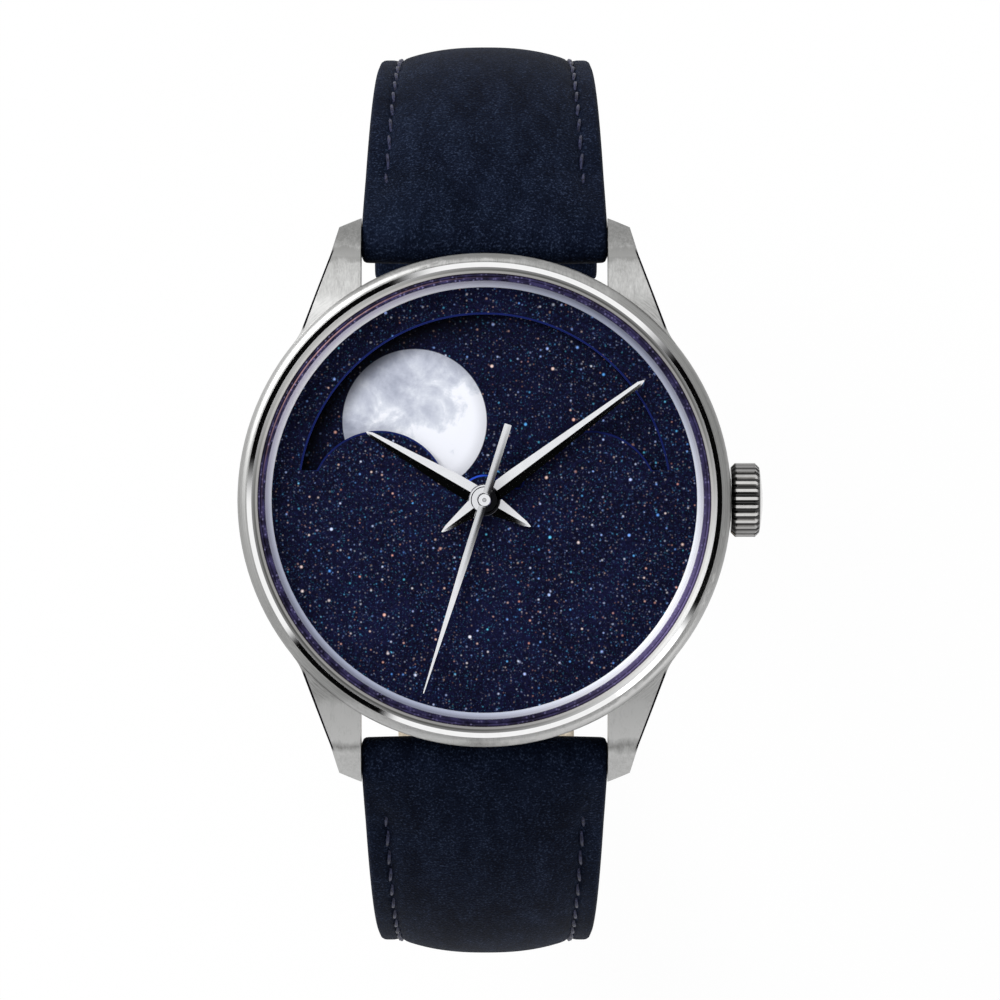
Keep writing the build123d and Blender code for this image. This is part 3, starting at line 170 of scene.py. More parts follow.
class Finish:
    """A material in the making: node() adds any node, and finished() ends it with its shader."""

    def __init__(self, name, world=False):
        if world:
            self.block = bpy.data.worlds.new(name)
            bpy.context.scene.world = self.block
        else:
            self.block = bpy.data.materials.new(name)
        self.block.use_nodes = True
        self.tree = self.block.node_tree
        self.tree.nodes.clear()

    def node(self, kind, settings=(), inputs=(), output=0):
        return add_node(self.tree, kind, settings, inputs, output)

    def place(self):
        """The Object coordinates, in metres from the frame's origin."""
        return self.node("ShaderNodeTexCoord", output="Object")

    def axes(self, vector):
        """The three numbers of a vector."""
        split = self.node("ShaderNodeSeparateXYZ", inputs={0: vector}).socket.node
        return [Shade(self.tree, socket) for socket in split.outputs]

    def coordinates(self):
        """The Object coordinates, their three numbers, and the distance from the Z axis."""
        place = self.place()
        x, y, z = self.axes(place)
        return place, x, y, z, radius_of(x, y)

    def stretched(self, vector, scale, turn=(0.0, 0.0, 0.0)):
        """The coordinates turned and scaled, for a pattern that runs one way."""
        return self.node("ShaderNodeMapping", inputs={"Vector": vector, "Rotation": turn, "Scale": scale})

    def noise(self, vector, scale, detail=3.0, roughness=0.55, distortion=0.0):
        sizes = {"Vector": vector, "Scale": scale, "Detail": detail}
        sizes.update({"Roughness": roughness, "Distortion": distortion})
        return self.node("ShaderNodeTexNoise", inputs=sizes, output=0)

    def mix(self, share, first, second, blend="MIX"):
        """Two colours mixed by a share."""
        sides = {"Factor_Float": share, "A_Color": first, "B_Color": second}
        return self.node("ShaderNodeMix", {"data_type": "RGBA", "blend_type": blend}, sides)

    def ramp(self, value, stops):
        return self.node("ShaderNodeValToRGB", {"stops": stops}, {0: value})

    def bump(self, height, distance, strength=1.0, normal=None):
        """The normal of a surface whose height, from 0 to 1, stands for a distance in metres."""
        sizes = {"Height": height, "Distance": distance, "Strength": strength}
        if normal is not None:
            sizes["Normal"] = normal
        return self.node("ShaderNodeBump", inputs=sizes)

    def end(self, shader, kind="ShaderNodeOutputMaterial"):
        output = self.tree.nodes.new(kind)
        self.tree.links.new(shader.socket, output.inputs["Surface"])
        return self.block

    def surface(self, **sockets):
        """The Principled shader: each socket by its name, with spaces as underscores."""
        named = {name.replace("_", " "): value for name, value in sockets.items()}
        return self.node("ShaderNodeBsdfPrincipled", inputs=named)

    def finished(self, **sockets):
        """The material, ended with its Principled shader."""
        return self.end(self.surface(**sockets))


def on_camera(finish):
    """1 for rays that show the backdrop: straight to the camera, mirrored, or through glass."""
    rays = finish.node("ShaderNodeLightPath").socket.node.outputs
    kinds = ("Is Camera Ray", "Is Glossy Ray", "Is Transmission Ray")
    straight, mirrored, through = [Shade(finish.tree, rays[name]) for name in kinds]
    return (straight + mirrored + through).at_most(1.0)


def grid_mesh(name, points, uv=None):
    """A mesh of quads through a grid of points, of shape (rows, columns, 3), with its UV map."""
    faces = grid_faces(points, False, False)
    return faces_mesh(name, points.reshape(-1, 3), faces, None if uv is None else uv.reshape(-1, 2))


def grid_faces(points, wrap_u, wrap_v):
    """The corner numbers of each quad of a grid, which may close along its rows or columns."""
    rows, columns = points.shape[:2]
    index = np.arange(rows * columns).reshape(rows, columns)
    if wrap_u:
        index = np.concatenate([index, index[:1]])
    if wrap_v:
        index = np.concatenate([index, index[:, :1]], axis=1)
    corners = (index[:-1, :-1], index[:-1, 1:], index[1:, 1:], index[1:, :-1])
    return np.stack(corners, axis=-1).reshape(-1, 4)


def faces_mesh(name, points, faces, uv=None):
    """A smooth mesh from an array of points and one of four-cornered faces."""
    mesh = bpy.data.meshes.new(name)
    mesh.vertices.add(len(points))
    mesh.vertices.foreach_set("co", np.ascontiguousarray(points, dtype=np.float32).ravel())
    mesh.loops.add(faces.size)
    mesh.loops.foreach_set("vertex_index", faces.astype(np.int32).ravel())
    mesh.polygons.add(len(faces))
    mesh.polygons.foreach_set("loop_start", np.arange(0, faces.size, 4, dtype=np.int32))
    mesh.update(calc_edges=True)
    mesh.polygons.foreach_set("use_smooth", np.ones(len(faces), dtype=bool))
    if uv is not None:
        layer = mesh.uv_layers.new(name="along")
        layer.data.foreach_set("uv", np.ascontiguousarray(uv[faces.ravel()], dtype=np.float32).ravel())
    piece = bpy.data.objects.new(name, mesh)
    bpy.context.scene.collection.objects.link(piece)
    return piece


def outward(rings):
    """The rings in the order that turns their faces outwards: reversed where the volume that they
    enclose comes out negative."""
    a, b, c = rings[:-1, :-1], rings[:-1, 1:], rings[1:, 1:]
    volume = np.einsum("uvk,uvk->", a, np.cross(b, c))
    return rings[:, ::-1] if volume < 0 else rings


def ends_drawn_in(rings):
    """The rings with each end closed by a last ring that shrinks to its middle."""
    first = np.broadcast_to(rings[:1].mean(axis=1, keepdims=True), rings[:1].shape)
    last = np.broadcast_to(rings[-1:].mean(axis=1, keepdims=True), rings[-1:].shape)
    return np.concatenate([first, rings, last])


def closed_pieces(name, ended=(), looped=(), crease=None):
    """One object of closed shells: ended ones run through rings from end to end, and looped ones
    come back to their first ring. Edges sharper than the crease, in degrees, stay sharp."""
    grids = [(outward(ends_drawn_in(rings)), False) for rings in ended]
    grids += [(outward(np.concatenate([rings, rings[:1]]))[:-1], True) for rings in looped]
    points, faces, start = [], [], 0
    for rings, wrap in grids:
        points.append(rings.reshape(-1, 3))
        faces.append(grid_faces(rings, wrap, True) + start)
        start += len(points[-1])
    piece = faces_mesh(name, np.concatenate(points), np.concatenate(faces))
    welded = piece.modifiers.new("closed", "WELD")
    welded.merge_threshold = weld_distance
    settle(piece)
    if crease is not None:
        piece.data.set_sharp_from_angle(angle=math.radians(crease))
    return piece


def shell(name, rings):
    """A closed piece through rings of points."""
    return closed_pieces(name, [rings])


def lathe(radii, heights, count=192):
    """Rings round the Z axis, one for each point of a profile, from sizes in mm."""
    turn = np.linspace(0.0, math.tau, count + 1)[:-1]
    radii, heights = np.asarray(radii)[:, None], np.asarray(heights)[:, None]
    points = (radii * np.cos(turn), radii * np.sin(turn), heights + 0.0 * turn)
    return np.stack(points, axis=-1) * MM


def settle(piece):
    """The mesh as its modifiers leave it becomes the piece's own."""
    graph = bpy.context.evaluated_depsgraph_get()
    mesh = bpy.data.meshes.new_from_object(piece.evaluated_get(graph))
    piece.modifiers.clear()
    piece.data = mesh


def cut_away(piece, cutters):
    """Closed cutters are taken out of a closed piece, and then removed."""
    for cutter in cutters:
        cut = piece.modifiers.new("cut", "BOOLEAN")
        cut.operation = "DIFFERENCE"
        cut.solver = "EXACT"
        cut.object = cutter
    settle(piece)
    for cutter in cutters:
        bpy.data.objects.remove(cutter)


def paper_floor():
    """A flat square of paper, in a grid of equal steps along X and Y."""
    across = np.linspace(-floor_half, floor_half, 9)
    x, y = np.meshgrid(across, across)
    height = np.full_like(x, cad_box[0][2] - floor_clearance)
    floor = grid_mesh("floor", np.stack([x, y, height], axis=-1))
    paper = Finish("white_paper")
    fibres = paper.noise(paper.place(), 900.0, 4.0)
    tint = paper.mix(fibres, (0.90, 0.90, 0.90), (0.94, 0.94, 0.94))
    lit = paper.surface(Base_Color=tint, Roughness=0.85, Normal=paper.bump(fibres, 0.00002))
    glow = paper.node("ShaderNodeEmission", inputs={"Color": (1.0, 1.0, 1.0), "Strength": 1.0})
    share = on_camera(paper) * 0.97
    shown = paper.node("ShaderNodeMixShader", inputs={0: share, 1: lit, 2: glow})
    floor.data.materials.append(paper.end(shown))


paper_floor()

surround = Finish("surround", world=True)
room_colour, backdrop_colour = (0.52, 0.53, 0.55), (1.0, 1.0, 1.0)
soft_room = surround.node("ShaderNodeBackground", inputs={"Color": room_colour, "Strength": 1.0})
white_card = surround.node("ShaderNodeBackground", inputs={"Color": backdrop_colour, "Strength": 1.0})
room = surround.node("ShaderNodeMixShader", inputs={0: on_camera(surround), 1: soft_room, 2: white_card})
surround.end(room, "ShaderNodeOutputWorld")


def soft_lamp(name, place, size, power):
    """A square lamp at a place, turned so that it faces the frame's origin."""
    lamp = bpy.data.lights.new(name, "AREA")
    lamp.shape = "SQUARE"
    lamp.size = size
    lamp.energy = power
    holder = bpy.data.objects.new(name, lamp)
    holder.location = place
    tilt = math.acos(place[2] / math.hypot(*place))
    holder.rotation_euler = (tilt, 0.0, math.atan2(place[1], place[0]) + math.pi / 2)
    bpy.context.scene.collection.objects.link(holder)


soft_lamp("key_light", key_place, key_size, key_power)
soft_lamp("fill_light", fill_place, fill_size, fill_power)

# Dark cards of the studio: panels near the horizon draw the dark bands of the polished bezel, and
# three small slanted ones darken the lower facet of each hand.
card_distance = 0.9
card_low, card_high = 0.14, 0.37
card_spans = ((268.0, 349.0), (40.0, 130.0), (201.0, 238.0))
slant_clocks = ((122.0, 164.0), (190.0, 232.0), (92.0, 122.0))
slant_zeniths = ((14.0, 44.0), (19.0, 44.0), (36.0, 62.0))
slant_distance = 1.2


cloth = Finish("black_cloth")
cloth_grain = cloth.noise(cloth.place(), 300.0)
cloth_tint = cloth.mix(cloth_grain, (0.001, 0.001, 0.001), (0.004, 0.004, 0.004))
cloth_along = cloth.axes(cloth.node("ShaderNodeUVMap", {"uv_map": "along"}))[0]
cloth_cover = cloth_along.rise(0.0, 0.16) * (1.0 - cloth_along.rise(0.84, 1.0))
cloth_sockets = {"Roughness": 0.95, "Specular_IOR_Level": 0.0, "Alpha": cloth_cover}
black_cloth = cloth.finished(Base_Color=cloth_tint, **cloth_sockets)


def direction(clock, zenith):
    """The unit vector at a clock angle from +Y and a zenith angle from +Z, in degrees."""
    clock, zenith = np.broadcast_arrays(np.radians(clock), np.radians(zenith))
    level = np.sin(zenith)
    return np.stack([level * np.sin(clock), level * np.cos(clock), np.cos(zenith)], axis=-1)


def dark_card(name, points):
    """A black cloth card that only mirrors can see, and that thins out toward both ends."""
    along = np.broadcast_to(np.linspace(0.0, 1.0, points.shape[1])[None, :], points.shape[:2])
    card = grid_mesh(name, points, uv=np.stack([along, along], axis=-1))
    card.data.materials.append(black_cloth)
    card.visible_camera = False
    card.visible_diffuse = False
    card.visible_shadow = False
    card.visible_transmission = False


for number, (start, end) in enumerate(card_spans):
    clocks, heights = np.meshgrid(np.linspace(start, end, 33), np.linspace(card_low, card_high, 5))
    wall = direction(clocks, 90.0) * card_distance
    wall[..., 2] = heights
    dark_card(f"horizon_card_{number}", wall)

for number, (span, heights) in enumerate(zip(slant_clocks, slant_zeniths)):
    clocks, zeniths = np.meshgrid(np.linspace(*span, 17), np.linspace(*heights, 9))
    dark_card(f"slant_card_{number}", direction(clocks, zeniths) * slant_distance)

# Case middle: one block of stainless steel with its four lugs, turned and milled. Its flanks and
# shoulder have a satin grain, its lugs are brushed along the strap, and a narrow facet on each
# lug's outer edge is polished and looks dark from above. Light is painted into the steel's
# colour: shade along each lug's crease and past it, a falloff from side to side, two highlight
# sectors on the turned flanks, and a dark reflection on each facet.
steel_light = (0.50, 0.50, 0.495)
steel_dark = (0.23, 0.23, 0.225)
lug_start_y, lug_blend = 15.6 * MM, 1.4 * MM
lug_facet_ends = ((12.60 * MM, 20.0 * MM), (14.84 * MM, 13.93 * MM))
lug_facet_width = 0.26 * MM
lug_facet_foot = 1.2 * MM
# Where the painted shade along each lug's crease lies, its half width, and how far it wanders
lug_crease_shade_y, lug_crease_shade_half, lug_crease_shade_wave = 19.95 * MM, 0.62 * MM, 1.4 * MM
# Near black, painted on each lug facet as its dark reflection
facet_painted_reflection = (0.003, 0.003, 0.004)
# The clock angle of the key light, along which the painted highlight sectors lie
highlight_clock = math.radians(313.0)


def dress(finish_block, *names):
    """CAD nodes that keep their shape and get a finish."""
    for name in names:
        piece = nodes[name]
        if not piece.material_slots:
            piece.data.materials.append(finish_block)
        for place in piece.material_slots:
            place.link = "OBJECT"
            place.material = finish_block


def round_lines(finish, radius, count):
    """Fine turned lines: noise that changes with the radius alone."""
    along = finish.node("ShaderNodeCombineXYZ", inputs={0: radius})
    return finish.noise(along, count, 2.0, 0.7)


def bow_tie_highlight(x, y, radius, power):
    """Painted highlight: the two bright sectors of a turned surface, as the cosine between its
    direction and the key light's, squared and raised to a power."""
    toward = (x * math.sin(highlight_clock) + y * math.cos(highlight_clock)) / radius
    return (toward * toward) ** power


def satin_case():
    """Brushed steel: streaks along Y on the lugs, and turned lines everywhere else, with painted
    shade, painted highlights and a painted dark reflection on the lug facets.
    """
    case = Finish("case_satin")
    place, x, y, z, radius = case.coordinates()
    along_strap = case.stretched(place, (1.0, 0.035, 1.0))
    streaks = case.noise(along_strap, 9000.0, 3.0, 0.65) * 0.6 + case.noise(along_strap, 2600.0, 2.0) * 0.4
    height = case.node("ShaderNodeCombineXYZ", inputs={0: radius, 2: z})
    turned_lines = case.noise(height, 11000.0, 2.0, 0.65)
    on_lug = y.abs().rise(lug_start_y, lug_start_y + lug_blend)
    grain = on_lug * streaks + (1.0 - on_lug) * turned_lines
    broad = case.noise(place, 160.0, 2.0)
    # Painted shade: the lug darkens in a wandering band along its crease and beyond it, and a painted
    # falloff shades it from one side to the other.
    wavy = (case.noise(place, 420.0, 2.0) - 0.5) * lug_crease_shade_wave
    crease = 1.0 - ((y.abs() + wavy - lug_crease_shade_y) / lug_crease_shade_half).abs().at_most(1.0)
    past_crease_shade = y.abs().rise(lug_crease_shade_y, lug_crease_shade_y + lug_crease_shade_half * 2.0)
    lug_painted_light = 0.78 - crease * 0.85 - past_crease_shade * 0.20 - (y.abs() - x.abs()) * 9.0 - y * 17.0
    # Painted highlight: two bright sectors on the turned flanks, and a painted falloff across them.
    ring_painted_light = 0.30 + bow_tie_highlight(x, y, radius, 3.0) * 0.62 - x * 5.0
    tone = on_lug * lug_painted_light + (1.0 - on_lug) * ring_painted_light
    tone = tone + (grain - 0.5) * 1.5 + (broad - 0.5) * 0.3
    tint = case.mix(tone.at_most(1.0).at_least(0.0), steel_dark, steel_light)
    # Painted reflection: the polished facet is painted near black where it faces up.
    (tip_x, tip_y), (root_x, root_y) = lug_facet_ends
    run = math.hypot(root_x - tip_x, root_y - tip_y)
    out_x, out_y = (tip_y - root_y) / run, (root_x - tip_x) / run
    offset = x.abs() * out_x + y.abs() * out_y - (tip_x * out_x + tip_y * out_y)
    facet = offset.rise(-lug_facet_width * 1.1, -lug_facet_width * 0.9)
    facet = facet * y.abs().rise(root_y - 0.3 * MM, root_y + 0.2 * MM)
    facet = facet * (1.0 - y.abs().rise(tip_y, tip_y + 0.5 * MM))
    facing_up = case.axes(case.node("ShaderNodeNewGeometry", output="True Normal"))[2]
    facet = facet * z.rise(lug_facet_foot, lug_facet_foot + 0.3 * MM) * facing_up.rise(0.05, 0.20)
    colour = case.mix(facet, tint, facet_painted_reflection)
    rough = 0.34 + grain * 0.16 - facet * 0.32
    normal = case.bump(grain * (1.0 - facet), 0.000012, 0.5)
    return case.finished(Base_Color=colour, Metallic=1.0, Roughness=rough, Normal=normal)


dress(satin_case(), "case_middle")


def polished_steel(name, light, dark, rough):
    """Mirror steel with the faint swirls that wiping leaves."""
    mirror = Finish(name)
    place = mirror.place()
    swirl = mirror.noise(place, 700.0, 4.0, 0.6, 1.5)
    fine = mirror.noise(place, 6000.0, 3.0)
    tint = mirror.mix(swirl, dark, light)
    haze = rough + swirl.rise(0.45, 0.8) * 0.05 + fine * 0.02
    normal = mirror.bump(fine, 0.0000015, 0.3)
    return mirror.finished(Base_Color=tint, Metallic=1.0, Roughness=haze, Normal=normal)


def turned_steel(name, light, dark, rough, count):
    """Steel off the lathe: fine lines round the watch's axis."""
    steel = Finish(name)
    place, x, y, z, radius = steel.coordinates()
    lines = round_lines(steel, radius + z * 0.7, count)
    tint = steel.mix(lines.rise(0.3, 0.7), dark, light)
    normal = steel.bump(lines, 0.00001, 0.4)
    sheen = rough + lines * 0.1
    return steel.finished(Base_Color=tint, Metallic=1.0, Roughness=sheen, Normal=normal)


# Case back: a screwed ring of the same steel, its flat mineral glass and the black rubber seal
# between ring and case. The spring bars between the lugs and the crown's tube are turned steel.
ring_light, ring_dark = (0.62, 0.62, 0.61), (0.44, 0.44, 0.43)
dress(turned_steel("back_ring", ring_light, ring_dark, 0.24, 9000.0), "case_back")
bar_steel = turned_steel("bar_steel", ring_light, ring_dark, 0.22, 14000.0)
dress(bar_steel, "spring_bar_12", "spring_bar_6", "crown_tube")


def seal_rubber():
    """Black rubber with a fine dull grain."""
    rubber = Finish("seal_rubber_black")
    grain = rubber.noise(rubber.place(), 9000.0, 4.0)
    tint = rubber.mix(grain, (0.010, 0.010, 0.011), (0.022, 0.022, 0.024))
    normal = rubber.bump(grain, 0.00001, 0.5)
    return rubber.finished(Base_Color=tint, Roughness=0.62, Normal=normal)


dress(seal_rubber(), "back_gasket", "crown_gasket")


def clear_glass(name, index, edge=None):
    """Coated glass that lets what is behind it through. It mirrors (1 - cosine) to the fifth of the
    light, less what the coating takes away; a rim finish, where given, covers its ground edge."""
    glass = Finish(name)
    place = glass.place()
    wipe = glass.noise(place, 260.0, 4.0, 0.6, 1.0)
    slant = glass.node("ShaderNodeLayerWeight", inputs={"Blend": 0.5}, output="Facing")
    haze = wipe.rise(0.4, 0.8) * 0.03 + 0.015
    tint = glass.mix(wipe, (0.98, 0.985, 1.0), (1.0, 1.0, 1.0))
    gloss = glass.surface(Base_Color=tint, Metallic=1.0, Roughness=haze)
    clear = glass.node("ShaderNodeBsdfTransparent", inputs={"Color": (0.985, 0.988, 0.992)})
    head_on = ((index - 1.0) / (index + 1.0)) ** 2
    coated = (slant ** 5.0 * (1.0 - head_on) - head_on * 0.3).at_least(0.0) * 0.55
    pane = glass.node("ShaderNodeMixShader", inputs={0: coated, 1: clear, 2: gloss})
    if edge is not None:
        share, rim = edge(glass, place)
        pane = glass.node("ShaderNodeMixShader", inputs={0: share, 1: pane, 2: rim})
    return glass.end(pane)


dress(clear_glass("back_glass", 1.45), "back_crystal")

# Movement: plates and bridges of rhodium-plated brass with a pearled or striped top, gilt wheels,
# steel arbors, blued screws, and a striped rotor that swings behind the back glass.
rhodium_light, rhodium_dark = (0.66, 0.66, 0.67), (0.46, 0.46, 0.48)
gilt_light, gilt_dark = (0.83, 0.60, 0.27), (0.58, 0.39, 0.15)
blue_light, blue_dark = (0.035, 0.07, 0.30), (0.012, 0.022, 0.12)
stripe_pitch = 1.7 * MM
pearl_pitch = 1.1 * MM


def striped_rhodium(name):
    """Straight waves: each stripe rises and falls as a sine across its pitch, with fine lines."""
    plate = Finish(name)
    place = plate.place()
    x, y, z = plate.axes(place)
    wave = ((x * 0.8 + y * 0.6) * (math.tau / stripe_pitch)).sine()
    turned = plate.stretched(place, (1.0, 0.04, 1.0), (0.0, 0.0, 0.9))
    lines = plate.noise(turned, 12000.0, 2.0, 0.7)
    tint = plate.mix((wave * 0.35 + lines * 0.5 + 0.1).rise(0.0, 0.8), rhodium_dark, rhodium_light)
    normal = plate.bump(wave * 0.5 + lines * 0.12, 0.00003, 0.6)
    return plate.finished(Base_Color=tint, Metallic=1.0, Roughness=0.2 + lines * 0.16, Normal=normal)


def pearled_rhodium(name):
    """Pearling: overlapping discs of round lines, each about the nearest point of a fine lattice."""
    plate = Finish(name)
    place = plate.place()
    cells = {"Vector": place, "Scale": 1.0 / pearl_pitch, "Randomness": 0.25}
    spot = plate.node("ShaderNodeTexVoronoi", inputs=cells, output="Distance")
    rings = (spot * 60.0).sine()
    tint = plate.mix((spot * 0.6 + rings * 0.15 + 0.2).rise(0.0, 0.9), rhodium_light, rhodium_dark)
    normal = plate.bump(rings * 0.5 + spot, 0.00002, 0.5)
    return plate.finished(Base_Color=tint, Metallic=1.0, Roughness=0.26 + rings * 0.05, Normal=normal)


def grained_metal(name, light, dark, rough):
    """Wheels and small steel: a fine even grain that catches light unevenly."""
    metal = Finish(name)
    place = metal.place()
    grain = metal.noise(place, 12000.0, 3.0, 0.6)
    broad = metal.noise(place, 500.0, 2.0)
    tint = metal.mix((grain * 0.6 + broad * 0.4).rise(0.3, 0.7), dark, light)
    normal = metal.bump(grain, 0.000006, 0.4)
    return metal.finished(Base_Color=tint, Metallic=1.0, Roughness=rough + grain * 0.1, Normal=normal)


dress(pearled_rhodium("pearled_plate"), "main_plate", "balance_cock")
dress(striped_rhodium("striped_bridge"), "train_bridge", "rotor")
dress(grained_metal("ring_grain", rhodium_light, rhodium_dark, 0.3), "movement_ring", "rotor_bearing")
dress(grained_metal("blued_screw", blue_light, blue_dark, 0.18), "bridge_screws", "rotor_screw")
train_nodes = ("barrel", "centre_wheel", "third_wheel", "balance_wheel")
motion_nodes = ("minute_wheel", "hour_wheel", "day_wheel", "moon_star_wheel")
dress(grained_metal("gilt_wheel", gilt_light, gilt_dark, 0.24), *train_nodes, *motion_nodes)
steel_nodes = ("seconds_arbor", "escape_wheel", "pallet_fork", "ratchet_wheel", "barrel_arbor", "click")
steel_light_fine, steel_dark_fine = (0.60, 0.60, 0.61), (0.42, 0.42, 0.43)
keyless_nodes = ("cannon_pinion", "moon_jumper", "stem", "winding_pinion", "setting_lever")
dress(grained_metal("fine_steel", steel_light_fine, steel_dark_fine, 0.2), *steel_nodes, *keyless_nodes)
dress(grained_metal("blue_spring", blue_light, blue_dark, 0.14), "hairspring")

# Dial and moon disc: deep blue glass sown with bright flakes, as thin slices on brass. The disc
# carries two printed moons opposite each other, and the dial's window has a blue cut edge,
# painted lighter where it faces the light, with a painted highlight by the hub. Painted shade
# and light fall on the disc and its moons.
moon_places = ((-5.65 * MM, 6.38 * MM), (5.65 * MM, -6.38 * MM))
moon_radius = 5.85 * MM
glass_ground = (0.0032, 0.0030, 0.0115)
glass_haze = (0.0100, 0.0115, 0.050)
flake_hues = (
    (0.00, (1.00, 0.42, 0.30)),
    (0.16, (1.00, 0.70, 0.58)),
    (0.32, (0.88, 0.90, 1.00)),
    (0.56, (0.42, 0.55, 1.00)),
    (0.80, (0.12, 0.38, 1.00)),
    (1.00, (0.14, 0.72, 0.95)),
)
# Each size of flake: the pitch of its cells and its width in mm, its share of cells, its strength
flake_sizes = (
    (0.29, 0.090, 0.30, 0.22),
    (0.45, 0.100, 0.30, 0.50),
    (0.85, 0.125, 0.26, 1.10),
    (2.2, 0.165, 0.26, 2.2),
)
edge_zone, hub_zone = 16.5 * MM, 2.9 * MM
# The window's cut edge: its blue painted darker and lighter by which way it faces the light, and a painted
# highlight by the hub
edge_blues_shaded_lit = ((0.008, 0.014, 0.085), (0.016, 0.028, 0.17))
hub_edge_highlight = (0.022, 0.07, 0.50)
disc_shadow_start, disc_shadow_end = 12.6 * MM, 14.8 * MM
moon_tones = (
    (0.00, (0.33, 0.35, 0.42)),
    (0.30, (0.40, 0.42, 0.50)),
    (0.60, (0.56, 0.58, 0.66)),
    (0.85, (0.74, 0.76, 0.82)),
    (1.00, (0.95, 0.95, 0.99)),
)


def flakes(finish, place, cell, size, share, seed):
    """Bright flakes: in a share of the cells of a lattice, a soft dot of some size, each with a
    brightness and a colour of its own. Gives the dots' strength and the cells' random colour."""
    shift = (seed * 0.37, seed * 0.11, seed * 0.53)
    shifted = finish.node("ShaderNodeVectorMath", {"operation": "ADD"}, {0: place, 1: shift})
    flat = finish.node("ShaderNodeVectorMath", {"operation": "MULTIPLY"}, {0: shifted, 1: (1.0, 1.0, 0.0)})
    cells = {"Vector": flat, "Scale": 1.0 / cell, "Randomness": 1.0}
    voronoi = finish.node("ShaderNodeTexVoronoi", {"voronoi_dimensions": "2D"}, cells, "Distance")
    chance = Shade(finish.tree, voronoi.socket.node.outputs["Color"])
    red, green, blue = [
        finish.node("ShaderNodeSeparateColor", inputs={0: chance}, output=index) for index in range(3)
    ]
    lit = red < share
    dot = (1.0 - voronoi / (size / cell)).at_least(0.0) ** 1.2
    return lit * dot * (green * 0.85 + 0.15), blue


def night_glass(finish, place):
    """The sprinkled glass's colour: a dark ground, faint clouds, dust, and flakes of four sizes."""
    cloud = finish.noise(place, 170.0, 5.0, 0.6, 0.8).rise(0.42, 0.75)
    fine_cloud = finish.noise(place, 4200.0, 3.0, 0.75).rise(0.40, 0.72)
    colour = finish.mix(cloud * 0.3 + fine_cloud * 0.7, glass_ground, glass_haze)
    dust = finish.noise(place, 6200.0, 2.0, 0.7).rise(0.56, 0.78)
    dust_hue = finish.ramp(finish.noise(place, 3300.0, 1.0).rise(0.10, 0.66), flake_hues)
    colour = finish.mix(dust * 0.17, colour, dust_hue, "ADD")
    for number, (cell, size, share, strength) in enumerate(flake_sizes):
        dots, chance = flakes(finish, place, cell * MM, size * MM, share, number + 1.0)
        hue = finish.ramp(chance, flake_hues)
        colour = finish.mix(dots * strength, colour, hue, "ADD")
    return colour


def dial_glass():
    """The dial: sprinkled glass, with the blue cut edge round its window, painted lighter where it
    faces the light and with a painted highlight by the hub.
    """
    dial = Finish("dial_glass")
    place, x, y, z, radius = dial.coordinates()
    colour = night_glass(dial, place)
    face_x, face_y, face_z = dial.axes(dial.node("ShaderNodeNewGeometry", output="True Normal"))
    cut = (1.0 - face_z.rise(0.80, 0.97)) * face_z.rise(-0.1, 0.2) * (radius < edge_zone)
    # Painted light: the cut edge's blue is lighter where it faces the light, with a painted highlight
    # along its arc by the hub.
    toward = face_x * 0.5 - face_y * 0.6 + 0.45
    rim = dial.mix(toward.rise(0.0, 1.0), *edge_blues_shaded_lit)
    hub_highlight_mask = (y * 0.93 - x * 0.37).rise(1.55 * MM, 1.95 * MM) * (radius < hub_zone)
    rim = dial.mix(hub_highlight_mask, rim, hub_edge_highlight)
    colour = dial.mix(cut, colour, rim)
    wipe = dial.noise(place, 2000.0, 3.0)
    normal = dial.bump(wipe, 0.000001, 0.2)
    rough = 0.3 + wipe * 0.1
    return dial.finished(Base_Color=colour, Roughness=rough, Specular_IOR_Level=0.02, Normal=normal)


def moon_print():
    """The disc: sprinkled glass under two printed moons, grey-white with darker plains and small
    craters. Painted light makes each moon bright to one side, painted shade dims it at the limb and
    darkens the whole disc a little, and a painted shadow of the dial's edge darkens the disc's far
    part."""
    disc = Finish("moon_disc_print")
    place, x, y, z, radius = disc.coordinates()
    colour = night_glass(disc, place)
    # Painted shade: the whole disc a little darker, as the dial shades it.
    colour = disc.mix(0.12, colour, (0.0, 0.0, 0.0))
    for sign, (moon_x, moon_y) in zip((1.0, -1.0), moon_places):
        dx, dy = (x - moon_x) * sign, (y - moon_y) * sign
        reach = radius_of(dx, dy)
        local = disc.node("ShaderNodeCombineXYZ", inputs={0: dx, 1: dy})
        on_moon = 1.0 - reach.rise(moon_radius - 0.06 * MM, moon_radius + 0.02 * MM)
        plains = disc.noise(local, 300.0, 5.0, 0.58, 0.5)
        pits = disc.noise(local, 1500.0, 6.0, 0.68)
        # Painted light: each moon grows brighter toward one side.
        side = dx * 80.0 - dy * 90.0
        light = side * 0.74 + 0.86 + (plains - 0.5) * 2.1 + (pits - 0.5) * 0.6
        print_tone = disc.ramp(light.at_most(1.0).at_least(0.0), moon_tones)
        # Painted shade: each moon dims toward its limb.
        limb = reach.rise(moon_radius * 0.80, moon_radius * 1.02)
        print_tone = disc.mix(limb * 0.28, print_tone, (0.06, 0.06, 0.08))
        colour = disc.mix(on_moon, colour, print_tone)
    toward_window = ((y * 0.62 - x * 0.78) / radius).rise(0.35, 0.85)
    under_edge = radius.rise(disc_shadow_start, disc_shadow_end) * toward_window
    colour = disc.mix(under_edge * 0.85, colour, (0.0004, 0.0004, 0.0008))
    wipe = disc.noise(place, 2000.0, 3.0)
    return disc.finished(Base_Color=colour, Roughness=0.36 + wipe * 0.12, Specular_IOR_Level=0.02)


plate_low, plate_high, plate_radius, plate_hole = 8.3, 8.75, 17.8, 1.0
window_radius, window_foot, window_bevel = 15.0, 2.4, 0.15
hump_place, hump_radius = 8.49, 5.6
notch_y, hub_radius = 1.0, 2.05
window_blend, cut_overrun = 0.12, 0.1


